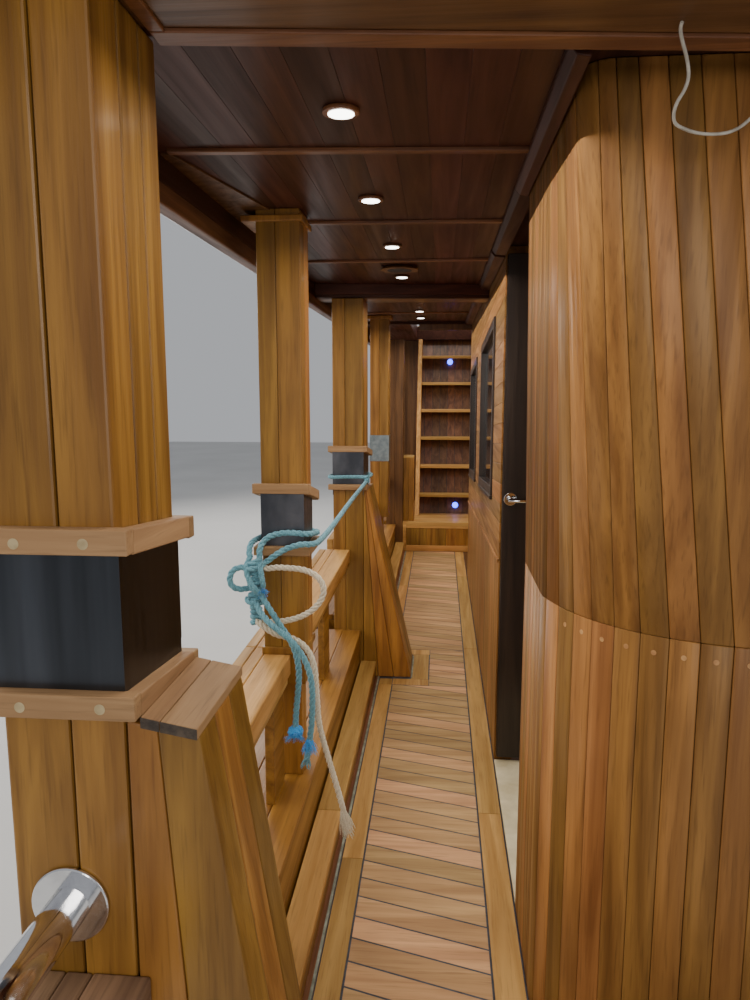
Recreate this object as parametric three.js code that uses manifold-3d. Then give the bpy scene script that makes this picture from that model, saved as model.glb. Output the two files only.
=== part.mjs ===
// Covered side deck section of a wooden dhow, in millimetres, +Z up.
// The section is laid out on the walkway: x runs inboard, y forward along the walkway, z = 0 is the deck's top.
// The exported group then stands on the floor, with its origin under the middle of its box.
import * as THREE from 'three';
import { mergeVertices } from 'three/addons/utils/BufferGeometryUtils.js';
import Module from 'manifold-3d';

const wasm = await Module();
wasm.setup();

// Driving dimensions: the section's box
const X_OUT = -700;
const X_IN = 1100;
const Y_NEAR = 700;
const Y_FAR = 8100;
const GAP = 0.3;

// Levels above the deck's top
const UNDERSIDE = -250;
const BEAM_TOP = -42;
const STEP_TOP = 83;
const LEDGE_TOP = 245;
const RAIL_BOTTOM = 565;
const RAIL_TOP = 660;
const NEAR_BEAM_UNDERSIDE = 1930;
const FAR_BEAM_UNDERSIDE = 1884;
const CEILING = 1950;
const CEILING_BOARD = 12;
const ROOF_TOP = 2100;

// Edges across the deck
const HULL_SIDE = -680;
const HULL_BOARD = 38;
const LEDGE_OUT = HULL_SIDE + HULL_BOARD;
const LEDGE_IN = -385;
const STEP_IN = -307;
const MARGIN_OUT = -290;
const FIELD_OUT = -220;
const FIELD_IN = 148;
const WALL_FACE = 230;
const WALL_BOARD = 36;

// Stations along the deck
const PASSAGE_NEAR = 1970;
const PASSAGE_FAR = 2790;
const CEILING_END = 5720;
const PLATFORM_FRONT = 6700;
const PLATFORM_TOP = 268;

const finish = {
  varnish: paint(0x8a5523, 0.35),
  darkTeak: paint(0x5f3716, 0.4),
  rawTeak: paint(0xc59a5f, 0.75),
  deck: paint(0xa98772, 0.8),
  mahogany: paint(0x4a2414, 0.3),
  beam: paint(0x6a4a2e, 0.8),
  black: paint(0x1c120c, 0.4),
  stone: paint(0xd8ccb4, 0.6),
  steel: paint(0x8d9298, 0.35, 0.9),
  chrome: paint(0xd8dade, 0.15, 1),
  glass: paint(0x0c0f12, 0.1),
  rope: paint(0x4f8f93, 0.9),
  whiteRope: paint(0xcfc6ad, 0.9),
  cable: paint(0xd8d6d0, 0.5),
};

function paint(color, roughness, metalness = 0) {
  return new THREE.MeshStandardMaterial({ color, roughness, metalness });
}

const section = new THREE.Group();
section.position.set(-(X_OUT + X_IN) / 2, -(Y_NEAR + Y_FAR) / 2, -UNDERSIDE);

function place(name, material, geometry) {
  const mesh = new THREE.Mesh(geometry, material);
  mesh.name = name;
  section.add(mesh);
  return mesh;
}

// A box between two ends along each axis, drawn in by half a gap on every face.
function boxGeometry(xs, ys, zs, inset = GAP / 2) {
  const low = new THREE.Vector3(xs[0], ys[0], zs[0]).addScalar(inset);
  const high = new THREE.Vector3(xs[1], ys[1], zs[1]).addScalar(-inset);
  const size = high.clone().sub(low);
  const middle = low.add(high).multiplyScalar(0.5);
  return new THREE.BoxGeometry(size.x, size.y, size.z).translate(middle.x, middle.y, middle.z);
}

function block(name, material, xs, ys, zs) {
  return place(name, material, boxGeometry(xs, ys, zs));
}

// An outline of [u, v] corners, with rectangular holes, pushed along an axis from start to end.
// Along x the outline is (y, z), along y it is (z, x), along z it is (x, y).
function pushed(axis, corners, start, end, holes = []) {
  const outline = new THREE.Shape(corners.map(([u, v]) => new THREE.Vector2(u, v)));
  for (const [us, vs] of holes) {
    const hole = [[us[0], vs[0]], [us[0], vs[1]], [us[1], vs[1]], [us[1], vs[0]]];
    outline.holes.push(new THREE.Path(hole.map(([u, v]) => new THREE.Vector2(u, v))));
  }
  const geometry = new THREE.ExtrudeGeometry(outline, { depth: end - start, bevelEnabled: false, steps: 1 });
  geometry.translate(0, 0, start);
  const turn = new THREE.Matrix4();
  const [x, y, z] = [new THREE.Vector3(1, 0, 0), new THREE.Vector3(0, 1, 0), new THREE.Vector3(0, 0, 1)];
  if (axis === 'x') turn.makeBasis(y, z, x);
  if (axis === 'y') turn.makeBasis(z, x, y);
  return geometry.applyMatrix4(turn);
}

function rectangle(us, vs) {
  return [[us[0], vs[0]], [us[1], vs[0]], [us[1], vs[1]], [us[0], vs[1]]];
}

// A round bar along an axis, from its middle at start, with the sides flat enough for a small mesh.
function roundBar(axis, centre, radius, length, sides = 16) {
  const geometry = new THREE.CylinderGeometry(radius, radius, length, sides).translate(0, length / 2, 0);
  if (axis === 'x') geometry.rotateZ(-Math.PI / 2);
  if (axis === 'z') geometry.rotateX(Math.PI / 2);
  return geometry.translate(...centre);
}

function toSolid(geometry) {
  const bare = geometry.clone();
  bare.deleteAttribute('normal');
  bare.deleteAttribute('uv');
  const merged = mergeVertices(bare, 1e-4);
  return new wasm.Manifold(new wasm.Mesh({
    numProp: 3,
    vertProperties: new Float32Array(merged.attributes.position.array),
    triVerts: new Uint32Array(merged.index.array),
  }));
}

function fromSolid(solid) {
  const mesh = solid.getMesh();
  const geometry = new THREE.BufferGeometry();
  geometry.setAttribute('position', new THREE.BufferAttribute(mesh.vertProperties, 3));
  geometry.setIndex(new THREE.BufferAttribute(mesh.triVerts, 1));
  return geometry;
}

function fuse(geometries) {
  return fromSolid(geometries.map(toSolid).reduce((whole, piece) => whole.add(piece)));
}

function cutAway(geometry, cutters) {
  return fromSolid(cutters.map(toSolid).reduce((rest, cutter) => rest.subtract(cutter), toSolid(geometry)));
}

// The deck: bearers under one block that stands in for the closed beam space, then slabs of planking
const LINING_BOTTOM = -210;
const BEARER = 80;
const BEARER_BAYS = 6;

function addDeck() {
  const across = [LEDGE_OUT + GAP, X_IN];
  const deck = [boxGeometry(across, [Y_NEAR, Y_FAR], [LINING_BOTTOM, BEAM_TOP], 0)];
  const pitch = (Y_FAR - Y_NEAR - BEARER) / BEARER_BAYS;
  for (let bearer = 0; bearer <= BEARER_BAYS; bearer += 1) {
    const y = Y_NEAR + bearer * pitch;
    deck.push(boxGeometry(across, [y, y + BEARER], [UNDERSIDE, LINING_BOTTOM + 1], 0));
  }
  place('deck_beams', finish.beam, fuse(deck));

  const length = [Y_NEAR, Y_FAR];
  const planking = [BEAM_TOP, 0];
  block('waterway', finish.darkTeak, [LEDGE_OUT, MARGIN_OUT], length, planking);
  block('margin_outboard', finish.rawTeak, [MARGIN_OUT, FIELD_OUT], length, planking);
  block('deck_planking', finish.deck, [FIELD_OUT, FIELD_IN], length, planking);
  block('margin_inboard', finish.rawTeak, [FIELD_IN, WALL_FACE], length, planking);
  block('house_floor', finish.beam, [WALL_FACE, X_IN], length, planking);
  block('threshold', finish.stone, [WALL_FACE, X_IN], [PASSAGE_NEAR + 5, PASSAGE_FAR + 20], [0, 12]);
  block('hull_planking', finish.darkTeak, [HULL_SIDE, LEDGE_OUT], length, [UNDERSIDE, LEDGE_TOP - 25]);
  const rub = [[20, HULL_SIDE - GAP], [100, HULL_SIDE - GAP], [85, X_OUT], [35, X_OUT]];
  place('rub_rail', finish.darkTeak, pushed('y', rub, Y_NEAR, Y_FAR));
}

// Posts. Big posts stand on the deck and carry the beams. Slim ones are let into the rail, on a stub.
// name, x from, x to, y from, y to, foot, top
const POSTS = [
  ['post_1', -566, -400, 890, 1100, 0, NEAR_BEAM_UNDERSIDE],
  ['post_2', -520, -395, 2150, 2290, RAIL_BOTTOM, CEILING],
  ['post_3', -522, -372, 3660, 3910, 0, FAR_BEAM_UNDERSIDE],
  ['post_4', -480, -350, 5200, 5330, RAIL_BOTTOM, CEILING],
  ['post_5', -472, -322, 6700, 6900, 0, 1890],
];
// post, lower collar from, to, upper collar from, to
const COLLARS = [
  ['post_1', 1034, 1067, 1248, 1281],
  ['post_2', 967, 994, 1151, 1180],
  ['post_3', 963, 990, 1150, 1179],
];
const COLLAR_REACH = 22;
const BAND_SHEET = 2;
const PLATE_4 = [960, 1140];
// post, x from, x to, y from, y to
const STUBS = [
  ['post_2', -485, -416, 2200, 2270],
  ['post_4', -460, -391, 5230, 5300],
];

function postNamed(name) {
  const [, x0, x1, y0, y1, foot] = POSTS.find((row) => row[0] === name);
  return { xs: [x0, x1], ys: [y0, y1], foot };
}

// A frame round a post, its hole a gap wider than the post.
function ringRound(post, reach, zs) {
  const outside = rectangle(
    [post.xs[0] - reach, post.xs[1] + reach],
    [post.ys[0] - reach, post.ys[1] + reach],
  );
  const hole = [
    [post.xs[0] - GAP, post.xs[1] + GAP],
    [post.ys[0] - GAP, post.ys[1] + GAP],
  ];
  return pushed('z', outside, zs[0] + GAP / 2, zs[1] - GAP / 2, [hole]);
}

function addPosts() {
  for (const [name, x0, x1, y0, y1, foot, top] of POSTS) {
    const post = postNamed(name);
    const pieces = [boxGeometry([x0, x1], [y0, y1], [foot, top])];
    const collars = COLLARS.find((row) => row[0] === name);
    if (collars) {
      const [, low, lowTop, high, highTop] = collars;
      pieces.push(wider(post, COLLAR_REACH, [low, lowTop]), wider(post, COLLAR_REACH, [high, highTop]));
      place(`${name}_band`, finish.steel, ringRound(post, BAND_SHEET, [lowTop, high]));
    }
    const stub = STUBS.find((row) => row[0] === name);
    if (stub) pieces.push(boxGeometry([stub[1], stub[2]], [stub[3], stub[4]], [LEDGE_TOP, foot + GAP]));
    place(name, finish.varnish, fuse(pieces));
  }
  place('post_4_band', finish.steel, ringRound(postNamed('post_4'), BAND_SHEET, PLATE_4));
}

function wider(post, reach, zs) {
  const xs = [post.xs[0] - reach, post.xs[1] + reach];
  const ys = [post.ys[0] - reach, post.ys[1] + reach];
  return boxGeometry(xs, ys, zs);
}

// Knees: sloping buttresses on the deck against the inboard faces of the big posts
// foot's x, height and x of the top's inboard edge, rise of the top to the post, reach past the post aft
const KNEE_1 = { foot: -145, topZ: 1008, topX: -303, rise: 18, aft: 0 };
const KNEE_1_CAP = { ys: [880, 1105], outX: -377.5, thickness: 14 };
const KNEE_3 = { foot: -130, topZ: 960, topX: -350, rise: 0, aft: 50 };
const KNEE_5 = { inner: -224, top: 860, front: 50 };

function addKnees() {
  const first = postNamed('post_1');
  const { topZ, topX, rise } = KNEE_1;
  const { outX, thickness } = KNEE_1_CAP;
  const climb = (rise * (topX - outX)) / (topX - first.xs[1]);
  const [low, high] = [topZ - 1, topZ + thickness];
  const cap = [[low, topX], [high, topX], [high + climb, outX], [low + climb, outX]];
  place('knee_1', finish.varnish, fuse([knee(first, KNEE_1), pushed('y', cap, ...KNEE_1_CAP.ys)]));
  place('knee_3', finish.varnish, knee(postNamed('post_3'), KNEE_3));
  const fifth = postNamed('post_5');
  const knee5 = rectangle([PLATFORM_TOP + GAP, KNEE_5.top], [fifth.xs[1] + GAP, KNEE_5.inner]);
  place('knee_5', finish.varnish, pushed('y', knee5, fifth.ys[0] + KNEE_5.front, fifth.ys[1]));
}

function knee(post, { foot, topZ, topX, rise, aft }) {
  const back = post.xs[1] + GAP;
  const outline = [[GAP, back], [GAP, foot], [topZ, topX], [topZ + rise, back]];
  return pushed('y', outline, post.ys[0], post.ys[1] + aft);
}

// Side of the walkway between the big posts: a step, a ledge, and a rail on short stanchions
// name, from y, to y, stanchion stations
const BAYS = [
  ['near', 700, 890, [731]],
  ['fore', 1100, 3660, [1250, 2090, 3050]],
  ['aft', 3960, 6700, [4300, 5060, 5900]],
];
// Stanchions are boards on edge, thin across the boat and wide along it.
const STANCHION = { xs: [-495, -467], width: 142 };
const NEAR_STANCHION_WIDTH = 60;
const NEAR_RAIL_SHIFT = 58;
// The rail's section, [z, x]: three boards on a moulding
const RAIL_SECTION = [
  [565, -585], [565, -450], [597, -450], [597, -440], [660, -440], [660, -595], [597, -595], [597, -585],
];

function stanchions(stations, width) {
  return stations.map((y) => {
    return boxGeometry(STANCHION.xs, [y - width / 2, y + width / 2], [LEDGE_TOP - 10, RAIL_BOTTOM]);
  });
}

function railBetween(y0, y1, posts) {
  const rail = pushed('y', RAIL_SECTION, y0 + GAP / 2, y1 - GAP / 2);
  const slots = posts.map((name) => {
    const post = postNamed(name);
    return boxGeometry(post.xs, post.ys, [post.foot - 1, RAIL_TOP + 1], -GAP);
  });
  return slots.length > 0 ? cutAway(rail, slots) : rail;
}

function addBays() {
  const slim = { near: [], fore: ['post_2'], aft: ['post_4'] };
  for (const [name, y0, y1, stations] of BAYS) {
    const start = name === 'aft' ? postNamed('post_3').ys[1] : y0;
    const ledge = boxGeometry([LEDGE_OUT, LEDGE_IN], [start, y1], [0, LEDGE_TOP]);
    const rail = railBetween(start, y1, slim[name]);
    if (name === 'near') {
      const posts = stanchions(stations, NEAR_STANCHION_WIDTH).map((box) => box.translate(0, 0, GAP));
      place('bulwark_near', finish.varnish, fuse([ledge, rail.translate(NEAR_RAIL_SHIFT, 0, 0), ...posts]));
    } else {
      block(`step_${name}`, finish.rawTeak, [LEDGE_IN, STEP_IN], [y0, y1], [0, STEP_TOP]);
      place(`ledge_${name}`, finish.varnish, fuse([ledge, ...stanchions(stations, STANCHION.width)]));
      place(`rail_${name}`, finish.rawTeak, rail);
    }
  }
  const far = [postNamed('post_5').ys[1], Y_FAR - 42];
  const endPost = boxGeometry(STANCHION.xs, [far[1] - STANCHION.width, far[1]], [LEDGE_TOP - 10, RAIL_TOP - 10]);
  place('bulwark_far', finish.varnish, fuse([
    boxGeometry([LEDGE_OUT, MARGIN_OUT], far, [0, LEDGE_TOP]),
    endPost,
    railBetween(far[0], far[1], []),
  ]));
}

// Handrail tube, square to the front of the first post, with its round flange
const TUBE = { x: -489, z: 762, radius: 27, flange: 54, flangeDepth: 10 };

function addHandTube() {
  const front = postNamed('post_1').ys[0] - GAP;
  const flange = roundBar('y', [TUBE.x, front - TUBE.flangeDepth, TUBE.z], TUBE.flange, TUBE.flangeDepth, 32);
  const length = front - TUBE.flangeDepth / 2 - Y_NEAR;
  const tube = roundBar('y', [TUBE.x, Y_NEAR, TUBE.z], TUBE.radius, length, 20);
  place('hand_tube', finish.chrome, fuse([flange, tube]));
}

// Roof: cross beams, ceiling board, outboard fascia, and the deck above with the ladder's hatch
const FASCIA = [-640, -600];
const FASCIA_BOTTOM = 1845;
// beam, y from and to at the big posts' inboard faces, underside, inboard end
const BEAMS = [
  ['beam_1', [900, 1100], NEAR_BEAM_UNDERSIDE, X_IN],
  ['beam_2', [3665, 3880], FAR_BEAM_UNDERSIDE, WALL_FACE],
];
// The beams lie square to the boat, and the walkway runs a little askew to it.
const BEAM_SKEW = { from: -400, slope: 0.107 };
const EDGE_BEAM = [5680, CEILING_END];
const EDGE_UNDERSIDE = 1930;
const LAMP = { radius: 34, depth: 8 };
// x, y of each ceiling lamp
const LAMP_STATIONS = [
  [-184, 1430], [-188, 2062], [-173, 2715], [-174, 3430], [-135, 4900], [-138, 5340],
];
const VENT = { x: -172, y: 3190, radius: 80, depth: 14 };
const HATCH = { xs: [-240, 400], ys: [CEILING_END + 20, 7900] };

function addRoof() {
  const askew = (x, y) => [x, y + (x - BEAM_SKEW.from) * BEAM_SKEW.slope];
  for (const [name, ys, underside, inner] of BEAMS) {
    const outline = [
      askew(FASCIA[1], ys[0]), askew(inner, ys[0]), askew(inner, ys[1]), askew(FASCIA[1], ys[1]),
    ];
    place(name, finish.mahogany, pushed('z', outline, underside, CEILING));
  }
  const edgeBeam = boxGeometry([FASCIA[1], WALL_FACE], EDGE_BEAM, [EDGE_UNDERSIDE, CEILING + 1]);
  const board = boxGeometry([FASCIA[1], 186], [Y_NEAR, CEILING_END], [CEILING, CEILING + CEILING_BOARD]);
  const vent = roundBar('z', [VENT.x, VENT.y, CEILING - VENT.depth], VENT.radius, VENT.depth + 1, 32);
  place('ceiling', finish.mahogany, fuse([board, edgeBeam, vent, ...lampRims()]));
  block('fascia', finish.darkTeak, FASCIA, [Y_NEAR, Y_FAR], [FASCIA_BOTTOM, CEILING + CEILING_BOARD]);
  const roof = rectangle([FASCIA[0] - 20, X_IN], [Y_NEAR, Y_FAR]);
  const bottom = CEILING + CEILING_BOARD + GAP / 2;
  place('upper_deck', finish.deck, pushed('z', roof, bottom, ROOF_TOP, [[HATCH.xs, HATCH.ys]]));
}

// Ceiling lamps along the walkway, and one round vent, all fixed up into the ceiling board
function lampRims() {
  return LAMP_STATIONS.map(([x, y]) => {
    return roundBar('z', [x, y, CEILING - LAMP.depth], LAMP.radius, LAMP.depth + 1, 20);
  });
}

// The near house: a wall that turns the corner, round at the knuckle and tight at the top
const KNUCKLE = 1000;
const CORNER_STEPS = 10;
const WALL_TOP = CEILING + CEILING_BOARD - GAP;

// The wall's outer face in plan, from the passage round the corner to the cut side.
function cornerLine(face, front, bend, corner) {
  const line = [[face, PASSAGE_NEAR]];
  const start = new THREE.Vector2(face, front + corner);
  const end = new THREE.Vector2(face + corner, front);
  const curve = new THREE.QuadraticBezierCurve(start, new THREE.Vector2(...bend), end);
  for (const point of curve.getPoints(CORNER_STEPS)) line.push([point.x, point.y]);
  line.push([X_IN, front]);
  return line;
}

function inwards(line, distance) {
  return line.map(([x, y], index) => {
    const before = line[Math.max(index - 1, 0)];
    const after = line[Math.min(index + 1, line.length - 1)];
    const run = new THREE.Vector2(after[0] - before[0], after[1] - before[1]).normalize();
    if (index === 0) return [x + distance, y];
    if (index === line.length - 1) return [x, y + distance];
    return [x - run.y * distance, y + run.x * distance];
  });
}

function leaningWall(low, high, zs) {
  const rings = [
    low.map(([x, y]) => [x, y, zs[0]]),
    high.map(([x, y]) => [x, y, zs[1]]),
    inwards(high, WALL_BOARD).map(([x, y]) => [x, y, zs[1]]),
    inwards(low, WALL_BOARD).map(([x, y]) => [x, y, zs[0]]),
  ];
  const count = low.length;
  const positions = rings.flat(2);
  const index = [];
  for (let ring = 0; ring < 4; ring += 1) {
    const next = (ring + 1) % 4;
    for (let i = 0; i + 1 < count; i += 1) {
      const [a, b, c, d] = [ring * count + i, ring * count + i + 1, next * count + i + 1, next * count + i];
      index.push(a, b, c, a, c, d);
    }
  }
  const last = count - 1;
  index.push(0, count, 2 * count, 0, 2 * count, 3 * count);
  index.push(last, 2 * count + last, count + last, last, 3 * count + last, 2 * count + last);
  const geometry = new THREE.BufferGeometry();
  geometry.setAttribute('position', new THREE.Float32BufferAttribute(positions, 3));
  geometry.setIndex(index);
  return geometry;
}

function addNearHouse() {
  const knuckle = cornerLine(WALL_FACE, 1320, [290, 1370], 320);
  const top = cornerLine(213, 1280, [216, 1283], 60);
  place('near_wall_low', finish.varnish, leaningWall(knuckle, knuckle, [GAP, KNUCKLE - GAP]));
  place('near_wall_high', finish.varnish, leaningWall(knuckle, top, [KNUCKLE, WALL_TOP]));
  block('near_house_back', finish.varnish, [WALL_FACE + WALL_BOARD, X_IN], [PASSAGE_NEAR - WALL_BOARD, PASSAGE_NEAR], [0, WALL_TOP]);
}

// The far house: a side wall with two windows that steps in round the ladder, a front wall with a doorway,
// and the end of the section. The windows drop towards the far end with the boat's sheer.
const HOUSE_END = 5800;
const ALCOVE_IN = 430;
const SHEER = 0.07;
const WINDOWS = [[3260, 4250], [4750, 5620]];
const WINDOW_Z = [994, 1758];
const FRAME_WIDTH = 45;
const DOOR = { xs: [236, 900], ys: [PASSAGE_FAR, PASSAGE_FAR + 36], zs: [30, 1930] };
const DOORWAY = { xs: [300, 875], zs: [20, 1900] };
const HINGE = { x: 905, y: PASSAGE_FAR - 4, radius: 5 };
const FRONT_WALL = [DOOR.ys[1] + 6, DOOR.ys[1] + 6 + WALL_BOARD];

// A block across a wall whose top and bottom follow the sheer, drawn in by an inset on its edges.
function sheered(xs, ys, zs, inset) {
  const drop = (y) => (y - WINDOWS[0][0]) * SHEER;
  const [y0, y1] = [ys[0] + inset, ys[1] - inset];
  const [z0, z1] = [zs[0] + inset, zs[1] - inset];
  const corners = [[y0, z0 - drop(y0)], [y1, z0 - drop(y1)], [y1, z1 - drop(y1)], [y0, z1 - drop(y0)]];
  return pushed('x', corners, xs[0], xs[1]);
}

function addFarHouse() {
  const thick = [WALL_FACE, WALL_FACE + WALL_BOARD];
  const inner = [ALCOVE_IN, ALCOVE_IN + WALL_BOARD];
  const back = [HOUSE_END - WALL_BOARD, HOUSE_END];
  const walls = fuse([
    boxGeometry(thick, [FRONT_WALL[0], HOUSE_END], [0, WALL_TOP]),
    boxGeometry([thick[0], inner[1]], back, [0, WALL_TOP]),
    boxGeometry(inner, [back[0], Y_FAR - 42], [0, WALL_TOP]),
  ]);
  const holes = WINDOWS.map((ys) => sheered([thick[0] - 1, thick[1] + 1], ys, WINDOW_Z, 0));
  place('far_wall', finish.varnish, cutAway(walls, holes));
  WINDOWS.forEach((ys, index) => {
    const frame = [thick[0] - 8, thick[1] - 4];
    const outer = sheered(frame, ys, WINDOW_Z, GAP);
    const pane = sheered([frame[0] - 1, frame[1] + 1], ys, WINDOW_Z, FRAME_WIDTH);
    place(`window_frame_${index + 1}`, finish.black, cutAway(outer, [pane]));
    const glass = sheered([thick[0] + 12, thick[0] + 18], ys, WINDOW_Z, FRAME_WIDTH + GAP / 2);
    place(`window_glass_${index + 1}`, finish.glass, glass);
  });
  const front = [
    [GAP, WALL_FACE + WALL_BOARD + GAP], [GAP, DOORWAY.xs[0]], [DOORWAY.zs[1], DOORWAY.xs[0]],
    [DOORWAY.zs[1], DOORWAY.xs[1]], [GAP, DOORWAY.xs[1]], [GAP, X_IN], [WALL_TOP, X_IN],
    [WALL_TOP, WALL_FACE + WALL_BOARD + GAP],
  ];
  const hingePost = boxGeometry([HINGE.x + 5, X_IN], [PASSAGE_FAR, FRONT_WALL[0] + 1], [12, WALL_TOP]);
  place('front_wall', finish.varnish, fuse([pushed('y', front, FRONT_WALL[0], FRONT_WALL[1]), hingePost]));
  block('end_bulkhead', finish.darkTeak, [FASCIA[1], X_IN], [Y_FAR - 40, Y_FAR], [0, WALL_TOP]);
}

// The door leaf hangs on one long hinge and opens out into the passage.
function addDoor() {
  block('door_leaf', finish.black, DOOR.xs, DOOR.ys, DOOR.zs);
  const plateBack = PASSAGE_FAR - GAP;
  const plate = [plateBack - 2, plateBack];
  block('hinge_leaf', finish.steel, [DOOR.xs[1] - 30, DOOR.xs[1]], plate, [60, 1900]);
  const barrel = roundBar('z', [HINGE.x, HINGE.y, 60], HINGE.radius, 1840);
  const flap = boxGeometry([HINGE.x + 2, HINGE.x + 40], plate, [60, 1900], 0);
  place('hinge_barrel', finish.steel, fuse([barrel, flap]));
  const z = 1050;
  const rose = roundBar('y', [264, PASSAGE_FAR - 8, z], 24, 8 - GAP, 24);
  const neck = roundBar('y', [264, PASSAGE_FAR - 48, z], 9, 44, 12);
  const lever = roundBar('x', [254, PASSAGE_FAR - 48, z], 8, 118, 12);
  place('door_handle', finish.chrome, fuse([rose, neck, lever]));
}

// Platform at the far end and the ladder to the deck above
const LADDER = { xs: [-225, 375], foot: 7054, side: 40, depth: 150, top: WALL_TOP };
const TREADS = { first: 463, rise: 266, going: 120, count: 6, thickness: 28 };

function addLadder() {
  const fifth = postNamed('post_5');
  place('platform', finish.rawTeak, fuse([
    boxGeometry([MARGIN_OUT, ALCOVE_IN], [PLATFORM_FRONT, Y_FAR - 42], [0, PLATFORM_TOP]),
    boxGeometry([fifth.xs[1] + GAP, MARGIN_OUT + 1], fifth.ys, [0, PLATFORM_TOP]),
  ]));
  const { xs, foot, side, depth, top } = LADDER;
  const slope = TREADS.going / TREADS.rise;
  const lean = (z) => foot + (z - PLATFORM_TOP) * slope;
  const cheek = [
    [foot, PLATFORM_TOP + GAP], [foot + depth, PLATFORM_TOP + GAP],
    [lean(top) + depth, top], [lean(top), top],
  ];
  const pieces = [
    pushed('x', cheek, xs[0], xs[0] + side),
    pushed('x', cheek, xs[1] - side, xs[1]),
  ];
  for (let step = 0; step < TREADS.count; step += 1) {
    const z = TREADS.first + step * TREADS.rise;
    const y = lean(z);
    const across = [xs[0] + side / 2, xs[1] - side / 2];
    pieces.push(boxGeometry(across, [y + 4, y + depth - 16], [z - TREADS.thickness, z], 0));
  }
  place('ladder', finish.rawTeak, fuse(pieces));
  const back = cheek.map(([y, z], index) => [index === 0 || index === 3 ? y + depth + GAP : y + 14, z]);
  place('ladder_back', finish.varnish, pushed('x', back, xs[0], xs[1]));
}

// Lines made fast on the second post, and one cable end under the first beam. They are plain tubes.
// A step of the tube falls on each point of its route.
const LINE_RADIUS = 9;
const WHITE_RADIUS = 9;
const CABLE_RADIUS = 2.5;
const TURN_RADIUS = 36;
const TURN_CLEAR = 17.5;
const TURN_STEPS = 4;
const BAND_2 = { xs: [-522, -393], ys: [2148, 2292] };
const COLLAR_2 = { xs: [-542, -373], ys: [2128, 2312] };
const BAND_3 = { xs: [-524, -370], ys: [3658, 3912] };
const KNOT = { x: -528, y: 2092 };
// radius, height
const KNOT_SECTION = [[0, 762], [14, 762], [16, 800], [26, 830], [26, 965], [0, 965]];

class Route extends THREE.CatmullRomCurve3 {
  getPointAt(along, target) {
    return this.getPoint(along, target);
  }

  getTangentAt(along, target) {
    return this.getTangent(along, target);
  }
}

// A quarter turn round one upright edge of a post, from one compass angle to the next.
function turn(post, [sideX, sideY], angles, heights) {
  const inset = TURN_RADIUS - TURN_CLEAR;
  const x = post.xs[sideX > 0 ? 1 : 0] - sideX * inset;
  const y = post.ys[sideY > 0 ? 1 : 0] - sideY * inset;
  const points = [];
  for (let step = 0; step <= TURN_STEPS; step += 1) {
    const share = step / TURN_STEPS;
    const angle = THREE.MathUtils.degToRad(THREE.MathUtils.lerp(angles[0], angles[1], share));
    const z = THREE.MathUtils.lerp(heights[0], heights[1], share);
    points.push([x + TURN_RADIUS * Math.cos(angle), y + TURN_RADIUS * Math.sin(angle), z]);
  }
  return points;
}

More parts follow.
